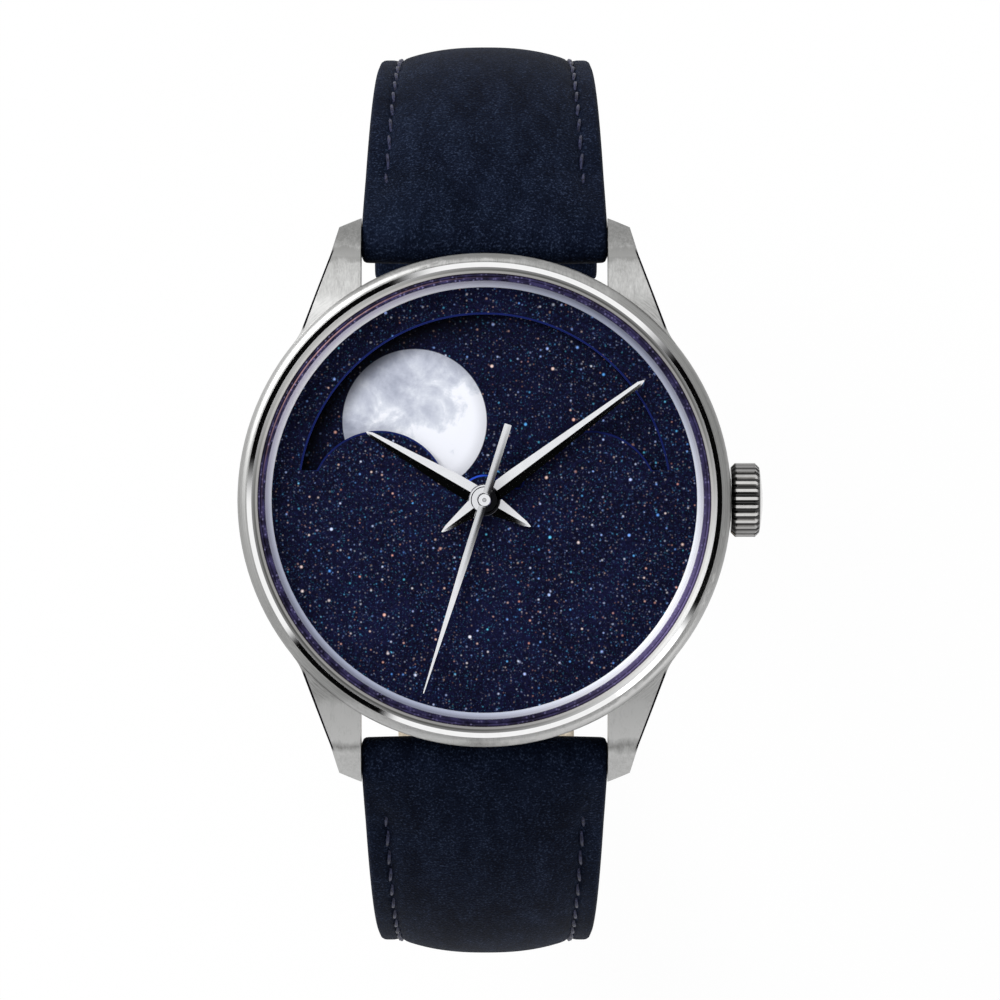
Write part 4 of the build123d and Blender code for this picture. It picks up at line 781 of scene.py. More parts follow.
def window_cutter():
    """The window's closed cutter: for each place across, a four-cornered section from the outer
    circle in to the humps, the notches and the hub's arc, wider above by the bevel."""
    end = hump_place + math.sqrt(hump_radius ** 2 - window_foot ** 2)
    x = end * np.sin(np.linspace(-math.pi / 2, math.pi / 2, 241))
    hub = np.sqrt(np.clip(hub_radius ** 2 - x ** 2, 0.0, None))
    hump = np.sqrt(np.clip(hump_radius ** 2 - (np.abs(x) - hump_place) ** 2, 0.0, None))
    parts = np.exp(notch_y / window_blend) + np.exp(hub / window_blend) + np.exp(hump / window_blend)
    inner = window_blend * np.log(parts - 1.0)
    slope = np.gradient(inner, x)
    away = np.stack([slope, -np.ones_like(slope)], axis=-1) / np.sqrt(1.0 + slope ** 2)[:, None]
    outer_end = math.sqrt(window_radius ** 2 - window_foot ** 2)
    outer_x = x * outer_end / end
    outer_y = np.sqrt(window_radius ** 2 - outer_x ** 2)
    out = np.stack([outer_x, outer_y], axis=-1) / window_radius
    levels = (
        (plate_low - cut_overrun, 0.0),
        (plate_high - window_bevel, 0.0),
        (plate_high + cut_overrun, window_bevel + cut_overrun),
    )
    far = [np.stack([outer_x, outer_y], axis=-1) + out * wider for z, wider in levels]
    near = [np.stack([x, inner], axis=-1) + away * wider for z, wider in reversed(levels)]
    heights = [z for z, wider in levels] + [z for z, wider in reversed(levels)]
    section = np.stack(far + near, axis=1)
    height = np.broadcast_to(np.array(heights)[None, :, None], section.shape[:2] + (1,))
    return shell("window_cutter", np.concatenate([section, height], axis=-1) * MM)


plate_radii = (plate_hole, plate_radius, plate_radius, plate_hole)
plate_heights = (plate_low, plate_low, plate_high, plate_high)
plate = closed_pieces("dial_plate", looped=[lathe(plate_radii, plate_heights, 240)])
cut_away(plate, [window_cutter()])
plate.data.set_sharp_from_angle(angle=math.radians(25.0))
plate.data.materials.append(dial_glass())
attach(plate, "case")
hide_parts("dial")
dress(moon_print(), "moon_disc")

# Hands: three rhodium-plated steel hands, each milled to two facets that meet in a sharp ridge,
# mirror-polished and pressed on their pipes.
hand_light, hand_dark = (0.88, 0.88, 0.89), (0.78, 0.78, 0.80)
painted_dial_reflection, hub_shadow = (0.02, 0.02, 0.022), (0.006, 0.006, 0.007)


def hand_finish(name, shaded_to, shade, hub_shade):
    """Mirror rhodium with a painted reflection of the dark dial near the hub, as far as it is shaded,
    stronger on one side. Painted shade makes the hub dark on the side away from the window and its
    bore black."""
    hand = Finish(name)
    place, x, y, z, radius = hand.coordinates()
    swirl = hand.noise(place, 700.0, 4.0, 0.6, 1.5)
    tint = hand.mix(swirl, hand_dark, hand_light)
    near_hub = (1.0 - radius.rise(0.6 * MM, shaded_to)) * radius.rise(0.50 * MM, 0.62 * MM)
    # Painted reflection of the dark dial near the hub, stronger on one side of the hand; painted shade on
    # the hub's far side and in its bore.
    far_side_shade = (x * 0.954 - y * 0.301).rise(-0.10 * MM, 0.16 * MM) * 0.75 + 0.25
    tint = hand.mix(near_hub * far_side_shade * shade, tint, painted_dial_reflection)
    across = ((x * 0.90 - y * 0.43) / radius).rise(-0.35, 0.35)
    on_hub = (1.0 - radius.rise(1.22 * MM, 1.32 * MM)) * hub_shade * radius.rise(0.56 * MM, 0.60 * MM)
    tint = hand.mix(on_hub * across, tint, hub_shadow)
    bore = 1.0 - radius.rise(0.12 * MM, 0.20 * MM)
    tint = hand.mix(bore, tint, hub_shadow)
    fine = hand.noise(place, 6000.0, 3.0)
    normal = hand.bump(fine, 0.0000015, 0.3)
    return hand.finished(Base_Color=tint, Metallic=1.0, Roughness=0.035 + swirl * 0.03, Normal=normal)


hand_rhodium = hand_finish("hand_rhodium", 3.6 * MM, 0.30, 1.0)
seconds_rhodium = hand_finish("seconds_rhodium", 9.0 * MM, 1.0, 0.0)
blade_end = (0.45, 0.5, 0.08)
blade_edge = 0.09
hub_bevel = 0.08
# Each hand: its clock angle, base, thickness, the length, width and straight run of its blade and
# of its tail, and the radii of its hub and bore
hand_sizes = (
    ("hour", 300.0, 9.05, 0.30, (11.0, 1.5, 3.0), (4.3, 1.5, 1.2), 1.3, 0.9),
    ("minute", 53.2, 9.56, 0.24, (16.1, 1.42, 3.0), (4.3, 1.42, 1.2), 1.1, 0.6),
    ("seconds", 197.5, 9.88, 0.16, (16.35, 0.6, 5.0), (6.4, 0.6, 6.3), 0.56, 0.14),
)


def blade(clock, base, thickness, sizes, fine):
    """Half a hand: stations out from the centre, each a five-cornered section whose ridge is the
    edge plus the rest of the thickness times the width's share. It stays as wide as far as it is
    straight, tapers to its shoulder, and ends in a point."""
    length, width, straight = sizes
    shoulder_width, point_length, tip_width = blade_end
    if fine:
        out = np.array((0.0, straight, length))
        wide = np.array((width, width, tip_width if length > straight * 1.5 else width * 0.92))
    else:
        out = np.array((0.0, straight, length - point_length, length))
        wide = np.array((width, width, shoulder_width, tip_width))
    ridge = blade_edge + (thickness - blade_edge) * wide / width
    flat = np.zeros_like(wide)
    across = np.stack([-wide / 2, -wide / 2, flat, wide / 2, wide / 2], axis=1)
    up = np.stack([flat, flat + blade_edge, ridge, flat + blade_edge, flat], axis=1) + base
    angle = math.radians(clock)
    x = out[:, None] * math.sin(angle) + across * math.cos(angle)
    y = out[:, None] * math.cos(angle) - across * math.sin(angle)
    return np.stack([x, y, up], axis=-1) * MM


for name, clock, base, thickness, long_end, tail_end, hub, bore in hand_sizes:
    fine = name == "seconds"
    long_blade = blade(clock, base, thickness, long_end, fine)
    tail_blade = blade(clock + 180.0, base, thickness, tail_end, fine)
    top = base + thickness + 0.03
    hub_radii = (bore, hub, hub, hub - hub_bevel, bore)
    collar = lathe(hub_radii, (base - 0.02, base - 0.02, top - hub_bevel, top, top), 64)
    hand = closed_pieces(f"{name}_hand_blades", [long_blade, tail_blade], [collar], 10.0)
    hand.data.materials.append(seconds_rhodium if fine else hand_rhodium)
    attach(hand, name)
    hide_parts(f"{name}_hand")

# Crystal, flange ring and bezel: a domed sapphire with a ground bevel sits in a dark seal, over a
# satin ring that frames the dial; the steel bezel is turned flat on top and polished outside.
rehaut_inner = 17.18 * MM
rim_start = 17.70 * MM
bezel_line_end = 18.47 * MM
bezel_groove_end = 18.62 * MM
bezel_flat_end = 18.76 * MM
bezel_wall = 19.17 * MM
# The radius of the warm stripe in the rim's painted reflection
warm_reflection_stripe = 17.95 * MM
seal_fade = 18.16 * MM
# Clock angles of the painted highlight sectors on the turned rings
near_clock, far_clock = math.radians(314.0), math.radians(121.0)
# The flange ring's inner line and its slope: their own colour, and the painted highlights of
# their two shining sides
flange_tones = (
    ((0.41, 0.44, 0.56), (0.90, 0.88, 0.93), (0.92, 0.93, 0.96)),
    ((0.22, 0.23, 0.30), (0.66, 0.62, 0.76), (0.78, 0.77, 0.82)),
)
# The bezel's turned zones from its inner edge out: dark and light lines, and the painted
# highlights of the two shining sides
bezel_tones = (
    ((0.24, 0.235, 0.23), (0.34, 0.335, 0.33), (0.52, 0.51, 0.50), (0.76, 0.75, 0.74)),
    ((0.055, 0.055, 0.052), (0.12, 0.12, 0.115), (0.44, 0.44, 0.43), (0.92, 0.92, 0.91)),
    ((0.13, 0.13, 0.13), (0.22, 0.22, 0.22), (0.40, 0.40, 0.40), (0.86, 0.86, 0.86)),
)


def painted_shine_lobes(x, y, radius, power):
    """Painted highlight: how strongly a turned ring shines toward the window, and on the side across
    from it, as the cosine to each of two clock angles, cut off at zero and raised to a power."""
    near = (x * math.sin(near_clock) + y * math.cos(near_clock)) / radius
    far = (x * math.sin(far_clock) + y * math.cos(far_clock)) / radius
    return near.at_least(0.0) ** power, far.at_least(0.0) ** power


def flange_satin():
    """Pale satin metal, brightest along its inner edge, with two painted highlight sectors. Its fine
    turned steps face upwards, so the normal is the surface's own with six times as much of the
    upward axis."""
    flange = Finish("flange_satin")
    place, x, y, z, radius = flange.coordinates()
    lines = round_lines(flange, radius, 14000.0)
    near, far = painted_shine_lobes(x, y, radius, 3.0)
    past_line = radius.rise(rehaut_inner + 0.10 * MM, rehaut_inner + 0.45 * MM)
    inner, outer = [
        flange.mix(far, flange.mix(near, own_tone, near_shine), far_shine)
        for own_tone, near_shine, far_shine in flange_tones
    ]
    tint = flange.mix(past_line, inner, outer)
    tint = flange.mix(lines.rise(0.40, 0.60) * 0.22, tint, (0.12, 0.12, 0.17))
    own = flange.node("ShaderNodeNewGeometry", output="Normal")
    upward = flange.node("ShaderNodeVectorMath", {"operation": "ADD"}, {0: own, 1: (0.0, 0.0, 6.0)})
    facing = flange.node("ShaderNodeVectorMath", {"operation": "NORMALIZE"}, {0: upward})
    normal = flange.bump(lines, 0.000008, 0.4, facing)
    rough = 0.30 + lines * 0.1
    return flange.finished(Base_Color=tint, Metallic=1.0, Roughness=rough, Normal=normal)


def rim_painted_reflection(finish, place, x, y, radius):
    """Painted reflection on the ground rim and the seal round it: a dark violet blue with sparkles,
    pale violet on the far side and a warm stripe toward the window."""
    cloud = finish.noise(place, 900.0, 4.0)
    near, far = painted_shine_lobes(x, y, radius, 9.0)
    tint = finish.mix(cloud.rise(0.35, 0.7), (0.010, 0.009, 0.022), (0.045, 0.038, 0.11))
    tint = finish.mix(far * 0.9, tint, (0.20, 0.16, 0.34))
    stripe = 1.0 - ((radius - warm_reflection_stripe) / (0.09 * MM)).abs().at_most(1.0)
    tint = finish.mix(near * stripe, tint, (0.52, 0.30, 0.32))
    dots, chance = flakes(finish, place, 0.30 * MM, 0.12 * MM, 0.5, 9.0)
    return finish.mix(dots * 0.4, tint, (0.50, 0.46, 0.85), "ADD")


def bevel_reflection_tint(glass, place):
    """Where the radius passes the rim's start, the bevel shows the rim's painted reflection."""
    x, y, z = glass.axes(place)
    radius = radius_of(x, y)
    share = radius.rise(rim_start - 0.05 * MM, rim_start + 0.04 * MM) * 0.94
    tint = rim_painted_reflection(glass, place, x, y, radius)
    return share, glass.surface(Base_Color=tint, Roughness=0.35, Specular_IOR_Level=0.03)


def rim_seal():
    """The black seal round the crystal, painted with the rim's reflection and ending in black."""
    seal = Finish("crystal_seal")
    place, x, y, z, radius = seal.coordinates()
    tint = rim_painted_reflection(seal, place, x, y, radius)
    outside = radius.rise(seal_fade - 0.06 * MM, seal_fade + 0.06 * MM)
    tint = seal.mix(outside * 0.75, tint, (0.012, 0.009, 0.010))
    grain = seal.noise(place, 9000.0, 4.0)
    normal = seal.bump(grain, 0.000006, 0.4)
    return seal.finished(Base_Color=tint, Roughness=0.5, Specular_IOR_Level=0.03, Normal=normal)


def bezel_finish():
    """Turned flat top in three tones from its inner edge out, with two painted highlight sectors, and
    a polished chamfer and wall, the wall painted dark as shade.
    """
    bezel = Finish("bezel_polish")
    place, x, y, z, radius = bezel.coordinates()
    lines = round_lines(bezel, radius, 22000.0)
    wipe = bezel.noise(place, 700.0, 4.0, 0.6, 1.5)
    near, far = painted_shine_lobes(x, y, radius, 5.0)
    edge, groove, flat = [
        bezel.mix(far, bezel.mix(near, bezel.mix(lines, dark, light), near_shine), far_shine)
        for dark, light, near_shine, far_shine in bezel_tones
    ]
    polish = bezel.mix(wipe, (0.86, 0.86, 0.86), (0.94, 0.94, 0.94))
    # Painted shade: the outer wall below the chamfer is painted dark.
    wall = radius.rise(bezel_wall - 0.02 * MM, bezel_wall + 0.01 * MM)
    polish = bezel.mix(wall * 0.7, polish, (0.08, 0.08, 0.08))
    tint = bezel.mix(radius.rise(bezel_line_end - 0.03 * MM, bezel_line_end + 0.03 * MM), edge, groove)
    tint = bezel.mix(radius.rise(bezel_groove_end - 0.04 * MM, bezel_groove_end + 0.04 * MM), tint, flat)
    flank = radius.rise(bezel_flat_end - 0.02 * MM, bezel_flat_end + 0.03 * MM)
    tint = bezel.mix(flank, tint, polish)
    rough = (1.0 - flank) * 0.32 + 0.035 + wipe * 0.02
    normal = bezel.bump(lines * (1.0 - flank), 0.00001, 0.4)
    return bezel.finished(Base_Color=tint, Metallic=1.0, Roughness=rough, Normal=normal)


dress(flange_satin(), "rehaut")
shoulder_z, bezel_top_z, seat_radius = 8.3, 10.8, 18.28
bezel_radii = (seat_radius, 19.24, 19.24, 19.17, 18.76, seat_radius)
bezel_heights = (shoulder_z, shoulder_z, 9.3, 10.49, bezel_top_z, bezel_top_z)
seal_radii = (18.055, seat_radius - 0.005, seat_radius - 0.005, 18.055)
seal_heights = (shoulder_z, shoulder_z, bezel_top_z + 0.04, bezel_top_z + 0.04)
ring_pieces = (
    ("bezel_ring", "bezel", bezel_radii, bezel_heights, bezel_finish(), "polished_steel"),
    ("crystal_seal_ring", "crystal_gasket", seal_radii, seal_heights, rim_seal(), "seal_rubber"),
)
for name, node, radii, heights, finish_block, slot in ring_pieces:
    turned_ring = closed_pieces(name, looped=[lathe(radii, heights, 360)], crease=8.0)
    turned_ring.data.materials.append(finish_block)
    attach(turned_ring, "case")
    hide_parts(node)
dress(clear_glass("sapphire", 1.30, bevel_reflection_tint), "crystal")

# Crown: a turned steel knob on the stem, with a domed end, a cup for its seal and rounded flutes
# that the fingers grip. Its lands are polished, and its grooves lie in shadow.
crown_z = 4.45 * MM
crown_start, crown_length, crown_radius = 20.03, 2.6, 3.0
crown_bevel, crown_dome, cup_radius, cup_depth = 0.34, 0.30, 1.75, 1.5
flute_count, flute_depth, flute_land = 28, 0.30, 0.36
crown_light, crown_dark = (0.78, 0.77, 0.76), (0.50, 0.49, 0.48)
crown_shadow = (0.012, 0.012, 0.013)
rim_shade = (0.32, 0.20)
base_shade = (0.15, 0.50)
side_shade = (1.5, 2.7)


def crown_steel():
    """Polished steel whose grooves, base and rounded rim hold shadow: darker below the lands and
    past the rim of the domed end."""
    steel = Finish("crown_polish")
    place = steel.place()
    x, y, z = steel.axes(place)
    reach = (y * y + (z - crown_z) * (z - crown_z)) ** 0.5
    swirl = steel.noise(place, 700.0, 4.0, 0.6, 1.5)
    fine = steel.noise(place, 6000.0, 3.0)
    tint = steel.mix(swirl, crown_dark, crown_light)
    groove = 1.0 - reach.rise((crown_radius - flute_depth * 0.85) * MM, (crown_radius - 0.05) * MM)
    end = crown_start + crown_length
    on_side = 1.0 - x.rise((end - rim_shade[0]) * MM, (end - rim_shade[1]) * MM)
    base = 1.0 - x.rise((crown_start + base_shade[0]) * MM, (crown_start + base_shade[1]) * MM)
    turned_away = y.abs().rise(side_shade[0] * MM, side_shade[1] * MM) * on_side * 0.7
    dark = (groove * on_side + base * 0.7 + turned_away).at_most(1.0)
    tint = steel.mix(dark * 0.93, tint, crown_shadow)
    normal = steel.bump(fine, 0.0000015, 0.3)
    return steel.finished(Base_Color=tint, Metallic=1.0, Roughness=0.14 + swirl * 0.06, Normal=normal)


def fluted_knob():
    """Rings round the crown's axis: a cup for the seal, the back face, the bevel, the fluted grip
    and the domed end. A flute takes its depth times the sine of its place past the land."""
    turn = np.linspace(0.0, math.tau, flute_count * 14 + 1)[:-1]
    phase = (turn * flute_count / math.tau) % 1.0
    hollow = np.sin(np.clip((phase - flute_land) / (1.0 - flute_land), 0.0, 1.0) * math.pi) ** 0.7
    end, face = crown_start + crown_length, crown_radius - crown_bevel
    profile = [(crown_start + cup_depth, 0.01, 0.0), (crown_start + cup_depth, cup_radius, 0.0)]
    profile += [(crown_start, cup_radius, 0.0), (crown_start, face, 1.0)]
    profile += [(crown_start + crown_bevel, crown_radius, 1.0)]
    profile += [(x, crown_radius, 1.0) for x in np.linspace(crown_start + 0.6, end - crown_dome - 0.5, 5)]
    profile += [(end - crown_dome - crown_bevel, crown_radius, 1.0)]
    profile += [(end - crown_dome, face, 0.2)]
    steps = np.linspace(0.92, 0.02, 9)
    profile += [(end - crown_dome * share ** 2, face * share, 0.0) for share in steps]
    along, radius, fluted = np.array(profile).T[:, :, None]
    radius = radius - flute_depth * hollow * fluted
    points = (along + 0.0 * turn, radius * np.sin(turn), radius * np.cos(turn) + crown_z / MM)
    return np.stack(points, axis=-1) * MM


knob = closed_pieces("crown_knob", [fluted_knob()], crease=35.0)
knob.data.materials.append(crown_steel())
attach(knob, "crown")
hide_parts("crown")

# Strap, upper leather: navy calf over a padded core, turned round the bar at its end, sewn along
# both edges. Both halves follow one arc down the wrist's side and a second one under it.
bar_y, bar_z = 21.0, 3.0
strap_heading = math.radians(42.0)
side_bend = 50.0
side_run = (math.pi / 2 - strap_heading) * side_bend
side_centre = (bar_y - side_bend * math.sin(strap_heading), bar_z - side_bend * math.cos(strap_heading))
strap_widths, strap_thicknesses = (20.04, 16.0), (3.6, 2.6)
buckle_length, tail_length = 75.0, 115.0
buckle_bend, tail_bend = 21.1, 47.0
taper_run = 75.0
# Heights of the seam and of the sewn wall's top, from the middle, as shares of the thickness
seam_share, wall_share = 0.36 - 0.5, 0.62 - 0.5
stitch_inset = 1.75
stitch_pitch = 2.95
stitch_start, stitch_end = 5.6, 6.0
groove_depth, groove_pull, groove_width = 0.20, 0.10, 0.30
groove_fade = 0.6
padding_start, padding_rise, padding_end, padding_tip = 1.0, 7.0, 6.0, 10.0
wall_rise = 0.05
crown_power = 2.4
bar_hole, bar_reach = 0.97, 0.97 * 1.05
buckle_hole, buckle_reach = 0.80, 0.85
leather_gap = 0.02
edge_round = 0.5
leather_step = 0.55
across_count = 57
under_count = 9
loop_turn = math.radians(235.0)
loop_count = 26
tail_tip, tip_fade = 8.0, 1.2
tip_to_hole, hole_pitch, hole_count = 25.0, 6.0, 7
hole_runs = tail_length - tip_to_hole - hole_pitch * np.arange(hole_count)
hole_size, hole_depth = 0.95, 3.0
tongue_slot, slot_depth = (70.0, 80.0, 2.5), 3.2


class Half:
    """One strap half: its side of the case, its length and the bend of its far end, in mm."""

    def __init__(self, side, length, far_bend, rounded):
        self.side, self.length, self.far_bend, self.rounded = side, length, far_bend, rounded

    def point(self, run, x, height):
        """The point at a run along the middle, x across it and a height out from it: the centre
        of the arc plus (bend + height) times (sine, cosine) of the heading."""
        on_side = run <= side_run
        far_heading = math.pi / 2 + (run - side_run) / self.far_bend
        heading = np.where(on_side, strap_heading + run / side_bend, far_heading)
        bend = np.where(on_side, side_bend, self.far_bend)
        centre_y = np.where(on_side, side_centre[0], side_centre[0] + side_bend - self.far_bend)
        y = self.side * (centre_y + (bend + height) * np.sin(heading))
        z = side_centre[1] + (bend + height) * np.cos(heading)
        return np.stack(np.broadcast_arrays(x, y, z), axis=-1) * MM

    def half_width(self, run):
        """Half the width: it falls evenly as far as the taper goes, and round at a rounded tip."""
        share = np.clip(run / taper_run, 0.0, 1.0)
        half = (strap_widths[0] + (strap_widths[1] - strap_widths[0]) * share) / 2
        if self.rounded:
            past = np.clip(run - (self.length - tail_tip), 0.0, tail_tip)
            half = half - tail_tip + np.sqrt(tail_tip ** 2 - past ** 2)
        return half

    def thickness(self, run):
        """The strap's whole thickness, which falls evenly as far as the taper goes."""
        share = np.clip(run / taper_run, 0.0, 1.0)
        return strap_thicknesses[0] + (strap_thicknesses[1] - strap_thicknesses[0]) * share

    def with_tip(self, run, count):
        """The runs, and where the tip is rounded, a number of them that close up toward its end."""
        if not self.rounded:
            return run
        tip = self.length - tail_tip * (1.0 - np.sin(np.linspace(0.0, math.pi / 2, count)))
        return np.concatenate([run[run < tip[0] - 0.1], tip])

    def turned(self, run_of_bar, angle, x, radius):
        """The point at an angle round a bar, counted back from straight out: the bar's centre
        plus radius times (normal times cosine, minus forward times sine)."""
        bar = self.point(np.float64(run_of_bar), 0.0, 0.0)
        out = self.point(np.float64(run_of_bar), 0.0, 1.0) - bar
        ahead = np.array((0.0, self.side * out[2], -self.side * out[1]))
        spread = np.cos(angle)[..., None] * out - np.sin(angle)[..., None] * ahead
        points = bar + radius[..., None] * spread
        points[..., 0] = x * MM
        return points


def spread_across(half, count):
    """Places across the strap, closer together toward its edges: part of each follows a sine."""
    p = np.linspace(-1.0, 1.0, count)[None, :]
    return half * (0.55 * np.sin(p * math.pi / 2) + 0.45 * p)


def closed_profile(half, low, high, wall_top, crown_share, grooves):
    """The outline of the leather across the strap, one row for each station. Across the top the
    height is the wall's top plus a crown of 1 - (1 - q) ** crown_power past the stitches, where q
    goes from 0 at the stitch line to 1 in the middle, less the grooves, and its edges are rounded
    off as a quarter circle. It closes along the low side."""
    half, low, high, wall_top = (value[:, None] for value in (half, low, high, wall_top))
    x = spread_across(half, across_count)
    inset = half - np.abs(x)
    crown_inset = stitch_inset * crown_share[:, None]
    q = np.clip((inset - crown_inset) / np.maximum(half - crown_inset, 0.5), 0.0, 1.0)
    crown = 1.0 - (1.0 - q) ** crown_power
    height = wall_top + (high - wall_top) * crown
    height = height - grooves[:, None] * np.exp(-(((inset - stitch_inset) / groove_width) ** 2))
    corner = np.minimum(edge_round, np.maximum((height - low) * 0.8, 0.05))
    past = np.clip(1.0 - inset / corner, 0.0, 1.0)
    height = height - corner * (1.0 - np.sqrt(1.0 - past ** 2))
    back = np.linspace(1.0, -1.0, under_count)[None, :]
    under_x = half * back * 0.995
    under = np.broadcast_to(low, under_x.shape)
    return np.concatenate([x, under_x], axis=1), np.concatenate([height, under], axis=1)


def over_bar(low, away, hole, reach):
    """The low side at a distance from a bar: inside its reach it rises to the hole's round."""
    lifted = hole * np.sqrt(np.clip(1.0 - (away / reach) ** 2, 0.0, 1.0))
    return np.where(away < reach, np.maximum(low, lifted), low)


def upper_leather(name, half, looped_end):
    """The padded upper: a loop round the bar, the crowned run, and a second loop or a tip."""
    run = np.arange(0.0, half.length + leather_step / 2, leather_step)
    run = half.with_tip(np.minimum(run, half.length), 26)
    width, thick = half.half_width(run), half.thickness(run)
    left = half.length - run
    low = over_bar(thick * seam_share + leather_gap, run, bar_hole, bar_reach)
    padded = np.clip((run - padding_start) / padding_rise, 0.0, 1.0) ** 0.8
    if looped_end:
        low = over_bar(low, left, buckle_hole, buckle_reach)
        padded = padded * np.clip(left / padding_end, 0.0, 1.0)
    if half.rounded:
        padded = padded * np.clip(left / padding_tip, 0.05, 1.0)
    wall = thick * (wall_share + (0.5 - wall_share) * 0.9 * (1.0 - padded)) + wall_rise
    high = thick * 0.5
    if half.rounded:
        fade = np.sqrt(np.clip(left / tip_fade, 0.0, 1.0))
        middle = low + (wall - low) * 0.4
        low, wall, high = (middle + (v - middle) * fade for v in (low, wall, high))
    begun = np.clip((run - stitch_start + groove_fade) / groove_fade, 0.0, 1.0)
    sewn = begun * np.clip((half.length - stitch_end - run) / groove_fade, 0.0, 1.0)
    pull = 0.5 + 0.5 * np.cos((run - stitch_start) / stitch_pitch * math.tau)
    grooves = sewn * (groove_depth + groove_pull * pull)
    x, height = closed_profile(width, low, high, wall, padded, grooves)
    rings = half.point(run[:, None], x, height)
    angle = np.linspace(loop_turn, 0.0, loop_count)[:-1]
    rings = np.concatenate([bar_loop(half, 0.0, angle, bar_hole, strap_thicknesses[0] / 2), rings])
    if looped_end:
        turned = -np.linspace(0.0, loop_turn, loop_count)[1:]
        last_loop = bar_loop(half, half.length, turned, buckle_hole, strap_thicknesses[1] / 2)
        rings = np.concatenate([rings, last_loop])
    return shell(name, rings)


def bar_loop(half, run_of_bar, angle, hole, outside):
    """The leather's rings where it turns about a bar: the same outline, swung round the bar."""
    ones = np.ones_like(angle)
    width = half.half_width(np.float64(run_of_bar)) * ones
    wall, none = outside * 0.92 * ones, 0.0 * ones
    x, height = closed_profile(width, hole * ones, outside * ones, wall, none, none)
    return half.turned(run_of_bar, np.broadcast_to(angle[:, None], x.shape), x, height)


def rod_cutter(half, run, radius, depth):
    """A closed round cutter through the leather at a run."""
    turn = np.linspace(0.0, math.tau, 29)[:-1]
    around_run, across = run + radius * np.cos(turn)[None, :], radius * np.sin(turn)[None, :]
    reach = np.array((-depth, depth))[:, None]
    return shell("cutter", half.point(around_run, across, reach))


def slot_cutter(half, start, end, width):
    """A closed square cutter from one run to another, as wide as the slot."""
    corners_run = np.array((start, end, end, start))[None, :]
    corners_x = np.array((-width, -width, width, width))[None, :] / 2
    reach = np.array((-slot_depth, slot_depth))[:, None]
    return shell("cutter", half.point(corners_run, corners_x, reach))


def hole_cutters():
    """The cutters for the tail's row of holes."""
    return [rod_cutter(tail_half, run, hole_size, hole_depth) for run in hole_runs]


def calf_leather(name, deep, pale, glint_colour, scale=1.0):
    """Fine calf grain: cells with creases between them, faint clouds of tone, and tiny pale points of
    painted highlight where the finish catches light."""
    calf = Finish(name)
    place = calf.place()
    cells = {"Vector": place, "Scale": 2600.0 * scale, "Randomness": 1.0}
    crease = calf.node("ShaderNodeTexVoronoi", {"feature": "DISTANCE_TO_EDGE"}, cells, "Distance")
    pores = calf.noise(place, 5200.0 * scale, 4.0, 0.65)
    cloud = calf.noise(place, 120.0, 4.0, 0.6)
    wrinkle = calf.noise(calf.stretched(place, (1.0, 0.35, 0.35)), 520.0, 4.0, 0.6, 0.8)
    tone = cloud * 0.12 + pores * 0.58 + wrinkle * 0.3
    tint = calf.mix(tone.rise(0.38, 0.62), deep, pale)
    # Painted highlight: tiny pale points where the finish catches light.
    painted_glints = (pores * 0.85 + wrinkle * 0.15).rise(0.535, 0.66)
    tint = calf.mix(painted_glints * 0.62, tint, glint_colour)
    relief = crease.rise(0.0, 0.25) * 0.35 + pores * 0.3 + wrinkle * 0.35
    normal = calf.bump(relief, 0.00009, 0.55)
    rough = 0.50 + pores * 0.18 - painted_glints * 0.05
    return calf.finished(Base_Color=tint, Roughness=rough, Specular_IOR_Level=0.01, Normal=normal)


navy = calf_leather("navy_calf", (0.0020, 0.0032, 0.0082), (0.0066, 0.0108, 0.0250), (0.040, 0.056, 0.100))
buckle_half = Half(1.0, buckle_length, buckle_bend, False)
tail_half = Half(-1.0, tail_length, tail_bend, True)
upper_12 = upper_leather("strap_12_leather", buckle_half, True)
cut_away(upper_12, [slot_cutter(buckle_half, *tongue_slot)])
upper_6 = upper_leather("strap_6_leather", tail_half, False)
cut_away(upper_6, hole_cutters())
upper_pieces = ((upper_12, "strap_12_upper", "strap_12"), (upper_6, "strap_6_upper", "strap_6"))
for piece, node, body in upper_pieces:
    piece.data.materials.append(navy)
    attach(piece, body)
    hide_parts(node)

# Strap, lining: soft unpadded calf in its natural colour, glued under the upper. It has the same
# holes and slot, and it stops short of the bars that the upper turns round.
lining_start = 2.15
lining_buckle_end = 1.6
lining_round = 0.35


def lining_leather(name, half, end):
    """A flat layer from the strap's low side up to the seam, its edges a little rounded."""
    run = np.arange(lining_start, end, leather_step * 1.6)
    run = half.with_tip(np.append(run, end), 22)
    width, thick = half.half_width(run), half.thickness(run)
    low, high = -thick * 0.5, thick * seam_share
    if half.rounded:
        fade = np.sqrt(np.clip((half.length - run) / 0.8, 0.0, 1.0))
        low = high + (low - high) * fade
    x = spread_across(width[:, None], 25)
    inset = np.clip((width[:, None] - np.abs(x)) / lining_round, 0.0, 1.0)
    soft = lining_round * (1.0 - np.sqrt(1.0 - (1.0 - inset) ** 2))
    under = low[:, None] + np.minimum(soft, (high - low)[:, None] * 0.8)
    top_x = x[:, ::-1]
    top = np.broadcast_to(high[:, None], top_x.shape)
    outline = np.concatenate([x, top_x], axis=1)
    height = np.concatenate([under, top], axis=1)
    return shell(name, half.point(run[:, None], outline, height))


soft_calf = calf_leather("lining_calf", (0.40, 0.34, 0.26), (0.56, 0.49, 0.39), (0.64, 0.58, 0.48), 0.8)
lining_12 = lining_leather("strap_12_lining_leather", buckle_half, buckle_half.length - lining_buckle_end)
cut_away(lining_12, [slot_cutter(buckle_half, *tongue_slot)])
lining_6 = lining_leather("strap_6_lining_leather", tail_half, tail_half.length)
cut_away(lining_6, hole_cutters())
lining_pieces = ((lining_12, "strap_12_lining", "strap_12"), (lining_6, "strap_6_lining", "strap_6"))
for piece, node, body in lining_pieces:
    piece.data.materials.append(soft_calf)
    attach(piece, body)
    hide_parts(node)

